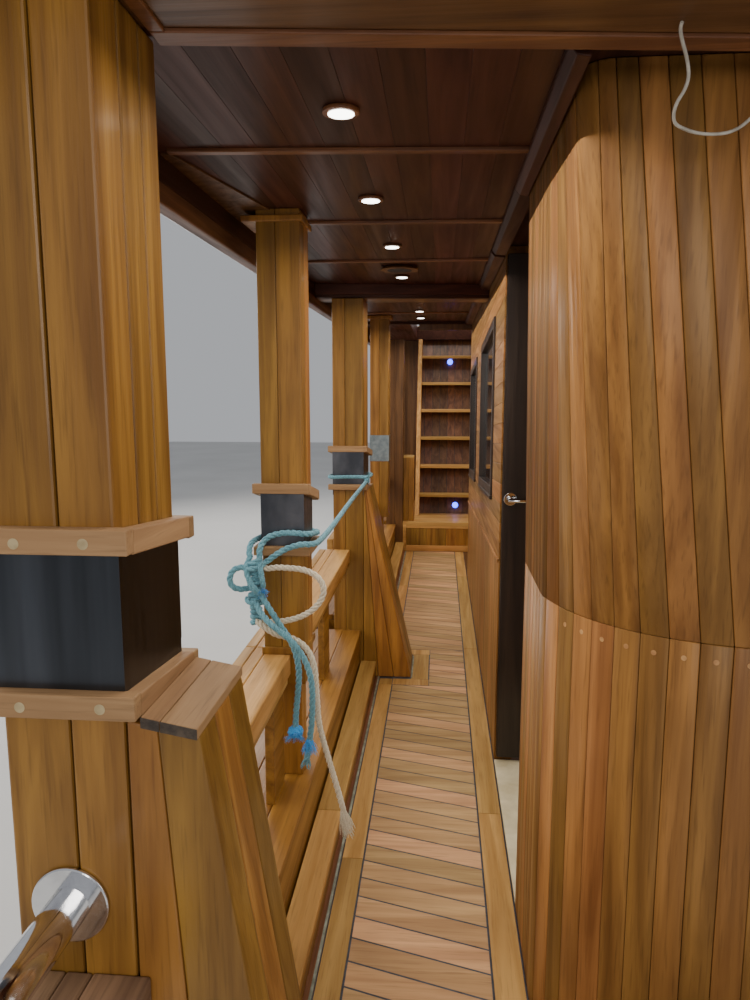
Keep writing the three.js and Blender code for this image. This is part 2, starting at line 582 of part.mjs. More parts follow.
// name, material, radius, sides, route
const LINES = [
  ['mooring_line', 'rope', LINE_RADIUS, 10, [
    [-357, 3641, 1028], [-385, 3645.5, 1028], [-447, 3648.3, 1027],
    ...turn(BAND_3, [-1, -1], [270, 180], [1026, 1025]),
    [-533.4, 3785, 1022],
    ...turn(BAND_3, [-1, 1], [180, 90], [1020, 1019]),
    [-447, 3921.4, 1017],
    ...turn(BAND_3, [1, 1], [90, 0], [1015, 1013]),
    [-360.6, 3785, 1009], [-358, 3700, 1006.5], [-356, 3620, 1004], [-359, 3500, 1000], [-364, 3350, 994],
    [-367, 3200, 990], [-368, 3050, 987], [-368, 2900, 986], [-366, 2750, 986], [-364, 2600, 987],
    [-361, 2450, 990], [-358, 2320, 995], [-356, 2220, 1000],
    ...turn(COLLAR_2, [1, -1], [0, -90], [1005, 1007]),
    [-412, 2109.5, 1003], [-440, 2108, 993], [-468, 2105.5, 977], [-484, 2104, 965.5], [-498.5, 2101.8, 954.2],
  ]],
  ['post_loop', 'rope', LINE_RADIUS, 10, [
    [-516, 2097, 965.7], [-516.3, 2097.3, 978], [-515.5, 2100, 992], [-511, 2107, 1006], [-502, 2116.5, 1018],
    [-488, 2127, 1027], [-468, 2135.5, 1032], [-445, 2138.4, 1035],
    ...turn(BAND_2, [1, -1], [-90, 0], [1036, 1028]),
    [-383.6, 2220, 1018],
    ...turn(BAND_2, [1, 1], [0, 90], [1012, 1011]),
    [-457, 2301.4, 1010],
    ...turn(BAND_2, [-1, 1], [90, 180], [1010, 1009.5]),
    [-533, 2220, 1009], [-537, 2188, 1008.5], [-542, 2162, 1008], [-546, 2141, 1006], [-548, 2124, 1001],
    [-548.5, 2110, 992], [-547, 2100, 980.5], [-543.9, 2095.8, 969.1],
  ]],
  ['line_tail', 'rope', LINE_RADIUS, 10, [
    [-505.3, 2069.1, 864.3], [-497, 2062, 852], [-472, 2051, 818], [-443, 2042, 778], [-418, 2036, 744],
    [-402, 2032, 708], [-394, 2030, 670], [-393, 2030, 635], [-397, 2030, 585], [-402, 2030, 535],
    [-405, 2030, 486],
  ]],
  ['line_end', 'rope', LINE_RADIUS, 10, [
    [-519.7, 2061.6, 843.1], [-512, 2050, 832], [-495, 2034, 815], [-470, 2020, 795], [-441, 2011, 776],
    [-412, 2006, 755], [-388, 2002, 728], [-368, 2000, 695], [-355, 2000, 655], [-350, 2000, 614],
    [-350, 2000, 563], [-353, 2001, 509], [-360, 2003, 455], [-368, 2005, 400],
  ]],
  ['white_loop', 'whiteRope', WHITE_RADIUS, 10, [
    [-501.4, 2092, 938], [-488, 2091.5, 938.3], [-465, 2089, 942], [-428, 2090, 941], [-390, 2091, 937],
    [-360, 2091, 926], [-339, 2091, 908], [-329, 2091, 885], [-331, 2091, 860], [-344, 2090, 836],
    [-367, 2088, 814], [-398, 2087, 797], [-433, 2086, 786], [-465, 2089, 780], [-494, 2092, 777.5],
    [-512.3, 2092, 777.5],
  ]],
  ['white_tail', 'whiteRope', WHITE_RADIUS, 10, [
    [-521.5, 2074.3, 785.2], [-516, 2068.5, 782.5], [-505, 2062, 776], [-487, 2058.5, 765], [-464, 2058, 752.5],
    [-438, 2058, 745.5], [-410, 2059, 738], [-384, 2058, 722], [-363, 2054, 695], [-350, 2050, 650],
    [-347, 2050, 600], [-344, 2050, 550], [-341, 2050, 500], [-330, 2050, 445], [-315, 2050, 390],
    [-300, 2050, 335], [-285, 2050, 280], [-271, 2050, 225], [-259, 2050, 170],
  ]],
  ['lamp_cable', 'cable', CABLE_RADIUS, 8, [
    [310, 1095.4, 1927.2], [311, 1104, 1923], [317, 1116, 1915], [326, 1128, 1903], [334, 1140, 1890],
    [338, 1150, 1878], [336, 1158, 1866], [330, 1167, 1854], [329, 1178, 1842], [335, 1190, 1833],
    [351, 1200, 1828], [373, 1210, 1825], [399, 1218, 1825], [420, 1222, 1828], [437, 1225, 1835],
    [451, 1228, 1846], [465, 1231, 1861], [476, 1234, 1878], [484, 1238, 1896], [490, 1244, 1913],
    [496, 1254, 1927], [502, 1267, 1935], [504, 1280.6, 1937],
  ]],
];

function addLines() {
  for (const [name, material, radius, sides, points] of LINES) {
    const route = new Route(points.map((point) => new THREE.Vector3(...point)), false, 'centripetal');
    const ring = [];
    for (let side = 0; side < sides; side += 1) {
      const angle = (side / sides) * 2 * Math.PI;
      ring.push(new THREE.Vector2(radius * Math.cos(angle), radius * Math.sin(angle)));
    }
    const along = { steps: points.length - 1, extrudePath: route, bevelEnabled: false };
    place(name, finish[material], new THREE.ExtrudeGeometry(new THREE.Shape(ring), along));
  }
  const outline = KNOT_SECTION.map(([radius, height]) => new THREE.Vector2(radius, height));
  const knot = new THREE.LatheGeometry(outline, 12).rotateX(Math.PI / 2);
  place('line_knot', finish.rope, knot.translate(KNOT.x, KNOT.y, 0));
}

addDeck();
addPosts();
addKnees();
addBays();
addHandTube();
addRoof();
addNearHouse();
addFarHouse();
addDoor();
addLadder();
addLines();

export default section;
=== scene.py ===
# %% [markdown]
# # A covered side deck of a wooden dhow
#
# This lesson dresses one length of a boat's side deck. The frame gives the solids that are already
# settled: deck, posts, rails, roof, two house walls, a door and a ladder. Everything here is laid over
# them, board by board, because on a planked boat the seams are what the eye reads first.

# %% Load the frame
import math
import random
import bpy
import bmesh
from mathutils import Matrix, Vector


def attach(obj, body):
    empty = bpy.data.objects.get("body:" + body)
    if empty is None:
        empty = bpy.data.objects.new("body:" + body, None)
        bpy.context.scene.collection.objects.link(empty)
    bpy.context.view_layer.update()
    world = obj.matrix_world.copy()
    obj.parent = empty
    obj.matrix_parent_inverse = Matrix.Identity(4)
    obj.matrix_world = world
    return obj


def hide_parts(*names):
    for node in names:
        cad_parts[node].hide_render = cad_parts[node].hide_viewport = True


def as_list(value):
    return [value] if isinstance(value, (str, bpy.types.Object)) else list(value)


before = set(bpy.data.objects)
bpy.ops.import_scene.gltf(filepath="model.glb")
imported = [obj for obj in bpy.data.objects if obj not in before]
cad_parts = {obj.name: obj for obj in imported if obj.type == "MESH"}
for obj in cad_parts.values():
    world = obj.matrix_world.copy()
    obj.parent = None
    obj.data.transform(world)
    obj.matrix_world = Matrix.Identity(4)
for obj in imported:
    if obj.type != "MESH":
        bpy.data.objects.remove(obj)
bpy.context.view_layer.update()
print("nodes in the frame:", len(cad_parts))

# %% [markdown]
# ## Shipwright's measures
#
# A deck is set out from the walkway: x runs inboard, y runs forward, and the deck's top is height 0, all
# in millimetres. One matrix carries such a drawing into the frame, which is in metres and stands on its
# bearers. A small seeded chance gives each board its own tone, the same on each run.

# %% The drawing's frame
DRAWING = Matrix.Translation((-0.2, -4.4, 0.25)) @ Matrix.Scale(0.001, 4)
chance = random.Random(11)


def in_frame(x, y, z):
    return DRAWING @ Vector((x, y, z))


def linked(name, data):
    made = bpy.data.objects.new(name, data)
    bpy.context.scene.collection.objects.link(made)
    return made


# ends of the section, its cut side and its outboard side, each a hair inside the solids
NEAR, FAR = 700.2, 8099.8
LENGTH = (NEAR, FAR)
INBOARD = 1099.8
OUTBOARD = -641.4
# across: the outboard edge of the ceiling, and the houses' face on the walkway
CEILING_OUT = -599.8
HOUSE_SIDE = 229.8
CEILING_XS = (CEILING_OUT, 185.8)
WALL_XS = (230.2, 265.8)
FRONT_YS = (2832.2, 2867.8)
# heights of the walls' planks and of the dark core behind them
WALL_TOP, CORE_TOP = 1961.4, 1961.2
WALL_ZS, CORE_ZS = (0.3, WALL_TOP), (0.5, CORE_TOP)
WALL_PITCH = 75
# heights of the deck's planks, of the bed under them, and of the rail's cap and sill
PLANK_ZS, BED_ZS = (-9, -0.2), (-41.8, -8)
CAP_ZS, SILL_ZS = (597, 659.8), (565.2, 597.5)
# plans of the posts
POST_1 = ((-566, -400), (890, 1100))
POST_2 = ((-520, -395), (2150, 2290))
POST_3 = ((-522, -372), (3660, 3910))
POST_4 = ((-480, -350), (5200, 5330))
POST_5 = ((-472, -322), (6700, 6900))
print("the deck's top by the first post:", in_frame(0, 1000, 0))

# %% [markdown]
# ## The eye
#
# The photograph was taken standing on the walkway, 1.45 m above the deck, turned a little towards the
# rail and tipped down. A phone's wide lens matches 27 mm on a long side of 36 mm. The lamps of the room
# are big soft panels: behind the eye, over the rail, past the far end, over the hatch, under the ceiling
# and inboard.

# %% Camera
eye = bpy.data.cameras.new("eye")
eye.sensor_width = 36
eye.lens = 27.04
eye.clip_start = 0.02
eye.clip_end = 200
camera = linked("eye", eye)
camera.location = in_frame(0, 0, 1450)
camera.rotation_euler = (math.radians(90 - 8.33), 0, math.radians(4.9))
bpy.context.scene.camera = camera
print("camera at", camera.location)

# %% Studio light
PANELS = [
    # name, place, aim, width, height, watts
    ("panel_front", (0.3, -7.6, 2.3), (0.0, -2.0, 1.1), 2.6, 2.0, 85),
    ("panel_rail", (-5.2, -1.5, 3.2), (-0.3, -0.8, 1.0), 7.0, 3.0, 300),
    ("panel_far", (-3.6, 5.4, 3.4), (-0.1, 2.4, 1.0), 3.0, 2.5, 140),
    ("panel_hatch", (-0.1, 2.6, 4.2), (-0.1, 2.6, 0.5), 2.0, 2.0, 45),
    ("panel_walk", (-0.22, -0.6, 2.11), (-0.22, -0.6, 0.0), 0.5, 6.0, 45),
    ("panel_inboard", (5.0, -0.5, 3.0), (0.6, 0.0, 1.0), 7.0, 2.5, 170),
]
for name, place, aim, width, height, watts in PANELS:
    panel = bpy.data.lights.new(name, "AREA")
    panel.shape = "RECTANGLE"
    panel.size = width
    panel.size_y = height
    panel.energy = watts
    panel.color = (1.0, 0.95, 0.88)
    lamp = linked(name, panel)
    lamp.location = place
    lamp.visible_camera = False
    lamp.visible_glossy = name not in ("panel_walk", "panel_rail")
    lamp.rotation_euler = (Vector(aim) - Vector(place)).to_track_quat("-Z", "Y").to_euler()
world = bpy.data.worlds.new("studio")
world.use_nodes = True
world.node_tree.nodes["Background"].inputs["Color"].default_value = (0.78, 0.8, 0.84, 1)
world.node_tree.nodes["Background"].inputs["Strength"].default_value = 0.55
bpy.context.scene.world = world
print("panels:", len(PANELS))

# %% [markdown]
# ## Timber as a material
#
# Wood is streaks along the board, fine pores, slow blotches of wear, and a tone that changes from one
# board to the next. A noise stretched along the grain gives the streaks. Each board's corners carry a
# colour called board: red is its tone, green and blue push the pattern aside, so no two boards match.

# %% Node helpers
GRAIN = {"X": (0, 1, 1), "Y": (1, 0, 1), "Z": (1, 1, 0)}


def new_material(name):
    material = bpy.data.materials.new(name)
    material.use_nodes = True
    tree = material.node_tree
    place = tree.nodes.new("ShaderNodeTexCoord").outputs["Object"]
    return material, tree, tree.nodes["Principled BSDF"], place


def fill(tree, node, **values):
    for key, value in values.items():
        place = int(key[1:]) if key[1:].isdigit() else key.replace("_", " ")
        socket = node.inputs[place]
        if isinstance(value, bpy.types.NodeSocket):
            tree.links.new(value, socket)
        elif socket.type == "RGBA":
            socket.default_value = (*value, 1)
        else:
            socket.default_value = value


def add(tree, kind, settings=None, out=0, **inputs):
    node = tree.nodes.new("ShaderNode" + kind)
    for key, value in (settings or {}).items():
        setattr(node, key, value)
    fill(tree, node, **inputs)
    return node.outputs[out]


def noise(tree, vector, scale, detail=4.0, distortion=0.0):
    return add(tree, "TexNoise", Vector=vector, Scale=scale, Detail=detail, Distortion=distortion)


def spread(tree, value, low, high, out_low, out_high):
    return add(tree, "MapRange", i0=value, i1=low, i2=high, i3=out_low, i4=out_high)


def ramp(tree, value, *stops):
    colour = add(tree, "ValToRGB", Fac=value)
    elements = colour.node.color_ramp.elements
    while len(elements) < len(stops):
        elements.new(0.5)
    for element, (place, tint) in zip(elements, stops):
        element.position = place
        element.color = (*tint, 1)
    return colour


def mix(tree, share, first, second):
    return add(tree, "Mix", {"data_type": "RGBA"}, 2, i0=share, i6=first, i7=second)


def bump(tree, strength, distance, height):
    return add(tree, "Bump", Strength=strength, Distance=distance, Height=height)


print("grain runs along", ", ".join(GRAIN))


# %% The timber recipe
# streaks across the grain, to the metre
FINE = 26.0


def timber(name, grain, light, dark, rough, coat=0.0, wear=0.35, relief=0.35, shine=0.3, vary=0.008):
    material, tree, shader, place = new_material(name)
    board = add(tree, "Attribute", {"attribute_name": "board"})
    own = add(tree, "VectorMath", {"operation": "MULTIPLY_ADD"}, i0=board, i1=(0.9, 3.1, 5.3), i2=place)
    across = [FINE if axis else FINE * 0.055 for axis in GRAIN[grain]]
    pore_scale = [FINE * 7 if axis else FINE * 0.35 for axis in GRAIN[grain]]
    streaks = noise(tree, add(tree, "Mapping", Vector=own, Scale=across), 1.0, 5.0, 0.7)
    pores = noise(tree, add(tree, "Mapping", Vector=own, Scale=pore_scale), 1.0, 2.0)
    blotches = noise(tree, own, 2.3, 3.0, 0.4)
    middle = tuple((a + b) / 2 for a, b in zip(light, dark))
    grime = tuple(value * 0.45 for value in dark)
    colour = ramp(tree, streaks, (0.3, dark), (0.5, middle), (0.68, light))
    colour = mix(tree, spread(tree, blotches, 0.52, 0.75, 0.0, wear), colour, grime)
    colour = mix(tree, spread(tree, pores, 0.55, 0.75, 0.0, 0.4), colour, grime)
    red = add(tree, "SeparateColor", Color=board)
    tone = spread(tree, red, 0.0, 1.0, 0.74, 1.22)
    turn = spread(tree, red, 0.0, 1.0, 0.5 + vary, 0.5 - vary)
    colour = add(tree, "HueSaturation", Hue=turn, Value=tone, Color=colour)
    height = add(tree, "Math", {"operation": "ADD"}, i0=streaks, i1=pores)
    fill(tree, shader, Base_Color=colour, Roughness=spread(tree, streaks, 0.3, 0.7, rough[1], rough[0]),
         Normal=bump(tree, relief, 0.0012, height), Specular_IOR_Level=shine, Coat_Weight=coat,
         Coat_Roughness=0.18)
    return material


print("streaks to the metre, across and along:", FINE, FINE * 0.055)

# %% [markdown]
# The varnished posts and walls are warm brown teak. Cap rails, steps, collars and deck margins are barer
# and paler. The deck's own planks are golden, each a little redder or greyer, and the ceiling is mahogany.

# %% The timbers
WAYS = {"X": "across", "Y": "along", "Z": "upright"}


def timbers(name, grains, *colours, **look):
    return [timber(name + " " + WAYS[grain], grain, *colours, **look) for grain in grains]


# name, grains, light tone, dark tone, roughness from and to
varnish_z, varnish_y = timbers(
    "varnish", "ZY", (0.37, 0.18, 0.036), (0.17, 0.07, 0.013), (0.3, 0.48), coat=0.12)
wall_z, wall_y = timbers(
    "house wall", "ZY", (0.33, 0.155, 0.042), (0.15, 0.062, 0.016), (0.34, 0.52), coat=0.05, shine=0.2)
raw_x, raw_y, raw_z = timbers(
    "bare teak", "XYZ", (0.59, 0.335, 0.1), (0.36, 0.18, 0.043), (0.5, 0.68), coat=0.04)
collar_x, collar_y = timbers(
    "weathered collar", "XY", (0.37, 0.225, 0.105), (0.23, 0.128, 0.055), (0.55, 0.72), wear=0.45)
worn_y, = timbers(
    "worn rail", "Y", (0.25, 0.15, 0.08), (0.11, 0.062, 0.034), (0.5, 0.7), wear=0.5)
deck_x, deck_y = timbers(
    "deck plank", "XY", (0.6, 0.36, 0.155), (0.38, 0.21, 0.09), (0.5, 0.7), wear=0.3, vary=0.011)
mahogany_y, mahogany_x = timbers(
    "mahogany", "YX", (0.085, 0.03, 0.018), (0.042, 0.015, 0.01), (0.3, 0.45), relief=0.15, shine=0.12)
dark_x, dark_y, dark_z = timbers(
    "dark teak", "XYZ", (0.2, 0.085, 0.03), (0.085, 0.034, 0.014), (0.35, 0.55), coat=0.2)
sawn_x, sawn_y = timbers(
    "sawn beam", "XY", (0.42, 0.28, 0.16), (0.24, 0.15, 0.085), (0.7, 0.85), wear=0.5, relief=0.6)
stain_z, stain_y = timbers(
    "black stain", "ZY", (0.035, 0.022, 0.015), (0.014, 0.009, 0.007), (0.3, 0.45), coat=0.2)
print("materials so far:", len(bpy.data.materials))


# %% [markdown]
# The rest is plain stuff with its own wear: dark caulking in the seams, dull sheet steel on the posts,
# polished tube, honed sill stone, tinted glass, rope yarn, and the lenses of the lamps.

# %% Other finishes
def plain(name, light, dark, scale, rough, metal=0.0, stretch=(1, 1, 1), relief=0.2):
    material, tree, shader, place = new_material(name)
    place = add(tree, "Mapping", Vector=place, Scale=stretch)
    cloud = noise(tree, place, scale, 4.0, 0.2)
    fine_cloud = noise(tree, place, scale * 7, 2.0)
    fill(tree, shader, Base_Color=ramp(tree, cloud, (0.35, dark), (0.65, light)), Metallic=metal,
         Roughness=spread(tree, fine_cloud, 0.3, 0.7, *rough), Normal=bump(tree, relief, 0.0006, fine_cloud))
    return material


def glowing(name, colour, strength):
    material, tree, shader, place = new_material(name)
    fill(tree, shader, Base_Color=colour, Emission_Color=colour, Emission_Strength=strength, Roughness=0.3)
    return material


# name, light tone, dark tone, patches to the metre, roughness from and to
caulk = plain("caulking", (0.034, 0.034, 0.036), (0.014, 0.014, 0.015), 40, (0.6, 0.8))
deck_seam = plain("deck seam", (0.085, 0.09, 0.11), (0.045, 0.048, 0.06), 40, (0.6, 0.8))
sealant = plain("old sealant", (0.3, 0.32, 0.25), (0.14, 0.15, 0.11), 25, (0.5, 0.75))
steel = plain("sheet steel", (0.1, 0.108, 0.125), (0.035, 0.038, 0.042), 2.2, (0.3, 0.38), 1.0,
              (5, 3, 0.3), 0.0)
dull_steel = plain("dull steel", (0.16, 0.165, 0.185), (0.075, 0.08, 0.094), 9, (0.34, 0.5), 1.0,
                   (1, 1, 0.6), 0.03)
zinc = plain("galvanised plate", (0.42, 0.5, 0.52), (0.27, 0.33, 0.36), 30, (0.36, 0.5), 1.0, relief=0.03)
end_grain = plain("worn end grain", (0.085, 0.06, 0.04), (0.035, 0.025, 0.018), 60, (0.7, 0.85))
chrome = plain("polished steel", (0.85, 0.85, 0.86), (0.7, 0.7, 0.72), 30, (0.06, 0.16), 1.0, relief=0.05)
stone = plain("sill stone", (0.72, 0.62, 0.4), (0.56, 0.46, 0.27), 12, (0.35, 0.55))
bung = plain("wood bung", (0.5, 0.27, 0.1), (0.34, 0.16, 0.055), 60, (0.4, 0.6))
pale_bung = plain("pale bung", (0.46, 0.36, 0.2), (0.33, 0.25, 0.13), 60, (0.5, 0.7))
cable_skin = plain("cable skin", (0.5, 0.47, 0.4), (0.33, 0.3, 0.25), 50, (0.4, 0.55))
print("materials so far:", len(bpy.data.materials))

# %% Lamps and glass
lamp_white = glowing("lamp lens", (1.0, 0.97, 0.9), 9.0)
lamp_blue = glowing("blue lamp lens", (0.03, 0.09, 1.0), 7.0)
glass, tree, shader, place = new_material("tinted glass")
fill(tree, shader, Base_Color=(0.05, 0.055, 0.06), Transmission_Weight=0.5,
     Roughness=spread(tree, noise(tree, place, 3.0), 0.3, 0.7, 0.03, 0.09))
print("other finishes are ready")

# %% [markdown]
# ## Lines on the second post
#
# A line is set out by a few points and drawn as one smooth curve through them, never by hand-made turns.
# The old teal line is made fast on the third post, runs aft of the second, goes round it, and ends in a
# heap of hitches. A white line hangs with it. Each is laid rope: three strands twisted round one middle.

# %% Rope yarns
def yarn(name, light, dark, sheen):
    material, tree, shader, place = new_material(name)
    fibres = noise(tree, place, 420.0, 3.0, 0.6)
    dirt = spread(tree, noise(tree, place, 22.0, 3.0), 0.5, 0.8, 0.0, 0.45)
    colour = ramp(tree, fibres, (0.3, dark), (0.7, light))
    fill(tree, shader, Base_Color=mix(tree, dirt, colour, tuple(value * 0.55 for value in dark)),
         Normal=bump(tree, 0.6, 0.0008, fibres), Roughness=0.85, Sheen_Weight=sheen, Sheen_Roughness=0.5)
    return material


teal_yarn = yarn("teal yarn", (0.2, 0.44, 0.5), (0.06, 0.18, 0.235), 0.2)
blue_yarn = yarn("bright blue yarn", (0.06, 0.42, 0.85), (0.02, 0.2, 0.55), 0.3)
white_yarn = yarn("white yarn", (0.78, 0.7, 0.54), (0.48, 0.4, 0.27), 0.3)
print("yarns: teal, bright blue, white")


# %% A smooth route
# steps drawn between two points of a route
ROUTE_STEPS = 12


def curve_through(points, spacing):
    points = [Vector(point) for point in points]
    ends = [points[0] * 2 - points[1]] + points + [points[-1] * 2 - points[-2]]
    dense = []
    for a, b, c, d in zip(ends, ends[1:], ends[2:], ends[3:]):
        t = [0.0]
        for first, second in ((a, b), (b, c), (c, d)):
            t.append(t[-1] + math.sqrt(max((second - first).length, 0.0001)))
        for step in range(ROUTE_STEPS):
            at = t[1] + (t[2] - t[1]) * step / ROUTE_STEPS
            share = lambda first, last: (at - t[first]) / (t[last] - t[first])
            a1, a2, a3 = a.lerp(b, share(0, 1)), b.lerp(c, share(1, 2)), c.lerp(d, share(2, 3))
            dense.append(a1.lerp(a2, share(0, 2)).lerp(a2.lerp(a3, share(1, 3)), share(1, 2)))
    dense.append(points[-1])
    lengths = [0.0]
    for first, second in zip(dense, dense[1:]):
        lengths.append(lengths[-1] + (second - first).length)
    count = max(int(lengths[-1] / spacing), 4)
    even = []
    index = 0
    for step in range(count + 1):
        want = lengths[-1] * step / count
        while index < len(lengths) - 2 and lengths[index + 1] < want:
            index += 1
        part = (want - lengths[index]) / max(lengths[index + 1] - lengths[index], 1e-9)
        even.append(dense[index].lerp(dense[index + 1], part))
    return even, lengths[-1]


def side_frames(path):
    ahead = (path[1] - path[0]).normalized()
    side = ahead.orthogonal().normalized()
    frames = []
    for index, point in enumerate(path):
        after = path[min(index + 1, len(path) - 1)] - path[max(index - 1, 0)]
        turned = after.normalized()
        side = ahead.rotation_difference(turned) @ side
        ahead = turned
        frames.append((point, side.normalized(), ahead.cross(side).normalized()))
    return frames


print("a route is drawn in", ROUTE_STEPS, "steps from point to point")


# %% Drawn lines
def smooth_piece(name, mesh, material):
    mesh.materials.append(material)
    for polygon in mesh.polygons:
        polygon.use_smooth = True
    piece = linked(name, mesh)
    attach(piece, "section")
    return piece


def drawn_curve(name, lines, radius, material, sides=2, taper=None):
    data = bpy.data.curves.new(name, "CURVE")
    data.dimensions = "3D"
    data.bevel_depth = radius / 1000
    data.bevel_resolution = sides
    data.use_fill_caps = True
    for line in lines:
        spline = data.splines.new("POLY")
        spline.points.add(len(line) - 1)
        for index, point in enumerate(line):
            spline.points[index].co = (*in_frame(*point), 1)
            if taper:
                spline.points[index].radius = taper(index / (len(line) - 1))
    shape = linked(name + " line", data)
    mesh = bpy.data.meshes.new_from_object(shape.evaluated_get(bpy.context.evaluated_depsgraph_get()))
    bpy.data.objects.remove(shape)
    mesh.name = name
    mesh.materials.clear()
    return smooth_piece(name, mesh, material)


print("a line's strands are drawn as tubes")


# %% Rope and torn yarn
def laid_rope(name, points, radius, material, pitch=3.0, spacing=3.5, out=0.49, strand_size=0.55):
    path, length = curve_through(points, spacing)
    lines = []
    for strand in range(3):
        line = []
        for index, (point, side, up) in enumerate(side_frames(path)):
            angle = 2 * math.pi * (index * length / (len(path) - 1) / (pitch * 2 * radius) + strand / 3)
            line.append(point + (side * math.cos(angle) + up * math.sin(angle)) * radius * out)
        lines.append(line)
    piece = drawn_curve(name, lines, radius * strand_size, material)
    print(name, "is", round(length), "mm long with", len(piece.data.polygons), "faces")
    return piece, [in_frame(*point) for point in path], length / 1000


def tuft(name, place, ahead, count, length, spread_out, radius, material, wiggle=0.25):
    lines = []
    ahead = Vector(ahead).normalized()
    side = ahead.orthogonal().normalized()
    for _ in range(count):
        turn = chance.uniform(0, 2 * math.pi)
        out = Matrix.Rotation(turn, 3, ahead) @ side
        bend = Matrix.Rotation(chance.uniform(0, 2 * math.pi), 3, ahead) @ side
        reach = length * chance.uniform(0.6, 1.0)
        start = Vector(place) + out * spread_out * chance.uniform(0, 0.5)
        line = []
        for step in range(7):
            share = step / 6
            point = start + ahead * reach * share + out * spread_out * share * chance.uniform(0.6, 1.0)
            line.append(point + bend * reach * wiggle * math.sin(share * math.pi) * share)
        lines.append(line)
    return drawn_curve(name, lines, radius, material, 1, lambda share: 1.0 - 0.6 * share)


ROPE = 9
print("rope is three strands of", round(ROPE * 0.55, 2), "mm radius")


# %% The turns round the posts
TURN_RADIUS = 36
TURN_CLEAR = 17.5
BAND_2 = ((-522, -393), (2148, 2292))
COLLAR_2 = ((-542, -373), (2128, 2312))
BAND_3 = ((-524, -370), (3658, 3912))


def turn(post, side, angles, heights):
    (x0, x1), (y0, y1) = post
    inset = TURN_RADIUS - TURN_CLEAR
    x = (x1 if side[0] > 0 else x0) - side[0] * inset
    y = (y1 if side[1] > 0 else y0) - side[1] * inset
    points = []
    for step in range(5):
        angle = math.radians(angles[0] + (angles[1] - angles[0]) * step / 4)
        z = heights[0] + (heights[1] - heights[0]) * step / 4
        points.append((x + TURN_RADIUS * math.cos(angle), y + TURN_RADIUS * math.sin(angle), z))
    return points


MOORING_LINE = [
    (-357, 3641, 1028), (-385, 3645.5, 1028), (-447, 3648.3, 1027),
    *turn(BAND_3, (-1, -1), (270, 180), (1026, 1025)),
    (-533.4, 3785, 1022),
    *turn(BAND_3, (-1, 1), (180, 90), (1020, 1019)),
    (-447, 3921.4, 1017),
    *turn(BAND_3, (1, 1), (90, 0), (1015, 1013)),
    (-360.6, 3785, 1009), (-358, 3700, 1006.5), (-356, 3620, 1004), (-359, 3500, 1000), (-364, 3350, 994),
    (-367, 3200, 990), (-368, 3050, 987), (-368, 2900, 986), (-366, 2750, 986), (-364, 2600, 987),
    (-361, 2450, 990), (-358, 2320, 995), (-356, 2220, 1000),
    *turn(COLLAR_2, (1, -1), (0, -90), (1005, 1007)),
    (-412, 2109.5, 1003), (-440, 2108, 993), (-468, 2105.5, 977), (-484, 2104, 965.5),
    (-498.5, 2101.8, 954.2),
]
POST_LOOP = [
    (-516, 2097, 965.7), (-516.3, 2097.3, 978), (-515.5, 2100, 992), (-511, 2107, 1006), (-502, 2116.5, 1018),
    (-488, 2127, 1027), (-468, 2135.5, 1032), (-445, 2138.4, 1035),
    *turn(BAND_2, (1, -1), (-90, 0), (1036, 1028)),
    (-383.6, 2220, 1018),
    *turn(BAND_2, (1, 1), (0, 90), (1012, 1011)),
    (-457, 2301.4, 1010),
    *turn(BAND_2, (-1, 1), (90, 180), (1010, 1009.5)),
    (-533, 2220, 1009), (-537, 2188, 1008.5), (-542, 2162, 1008), (-546, 2141, 1006), (-548, 2124, 1001),
    (-548.5, 2110, 992), (-547, 2100, 980.5), (-543.9, 2095.8, 969.1),
]
print("the long line has", len(MOORING_LINE), "points and the loop", len(POST_LOOP))

# %% The hanging ends
LINE_TAIL = [
    (-505.3, 2069.1, 864.3), (-497, 2062, 852), (-472, 2051, 818), (-443, 2042, 778), (-418, 2036, 744),
    (-402, 2032, 708), (-394, 2030, 670), (-393, 2030, 635), (-397, 2030, 585), (-402, 2030, 535),
    (-405, 2030, 486),
]
LINE_END = [
    (-519.7, 2061.6, 843.1), (-512, 2050, 832), (-495, 2034, 815), (-470, 2020, 795), (-441, 2011, 776),
    (-412, 2006, 755), (-388, 2002, 728), (-368, 2000, 695), (-355, 2000, 655), (-350, 2000, 614),
    (-350, 2000, 563), (-353, 2001, 509), (-360, 2003, 455), (-368, 2005, 400),
]
WHITE_LOOP = [
    (-501.4, 2092, 938), (-488, 2091.5, 938.3), (-465, 2089, 942), (-428, 2090, 941), (-390, 2091, 937),
    (-360, 2091, 926), (-339, 2091, 908), (-329, 2091, 885), (-331, 2091, 860), (-344, 2090, 836),
    (-367, 2088, 814), (-398, 2087, 797), (-433, 2086, 786), (-465, 2089, 780), (-494, 2092, 777.5),
    (-512.3, 2092, 777.5),
]
WHITE_TAIL = [
    (-521.5, 2074.3, 785.2), (-516, 2068.5, 782.5), (-505, 2062, 776), (-487, 2058.5, 765),
    (-464, 2058, 752.5), (-438, 2058, 745.5), (-410, 2059, 738), (-384, 2058, 722), (-363, 2054, 695),
    (-350, 2050, 650),
    (-347, 2050, 600), (-344, 2050, 550), (-341, 2050, 500), (-330, 2050, 445), (-315, 2050, 390),
    (-300, 2050, 335), (-285, 2050, 280), (-271, 2050, 225), (-259, 2050, 170),
]
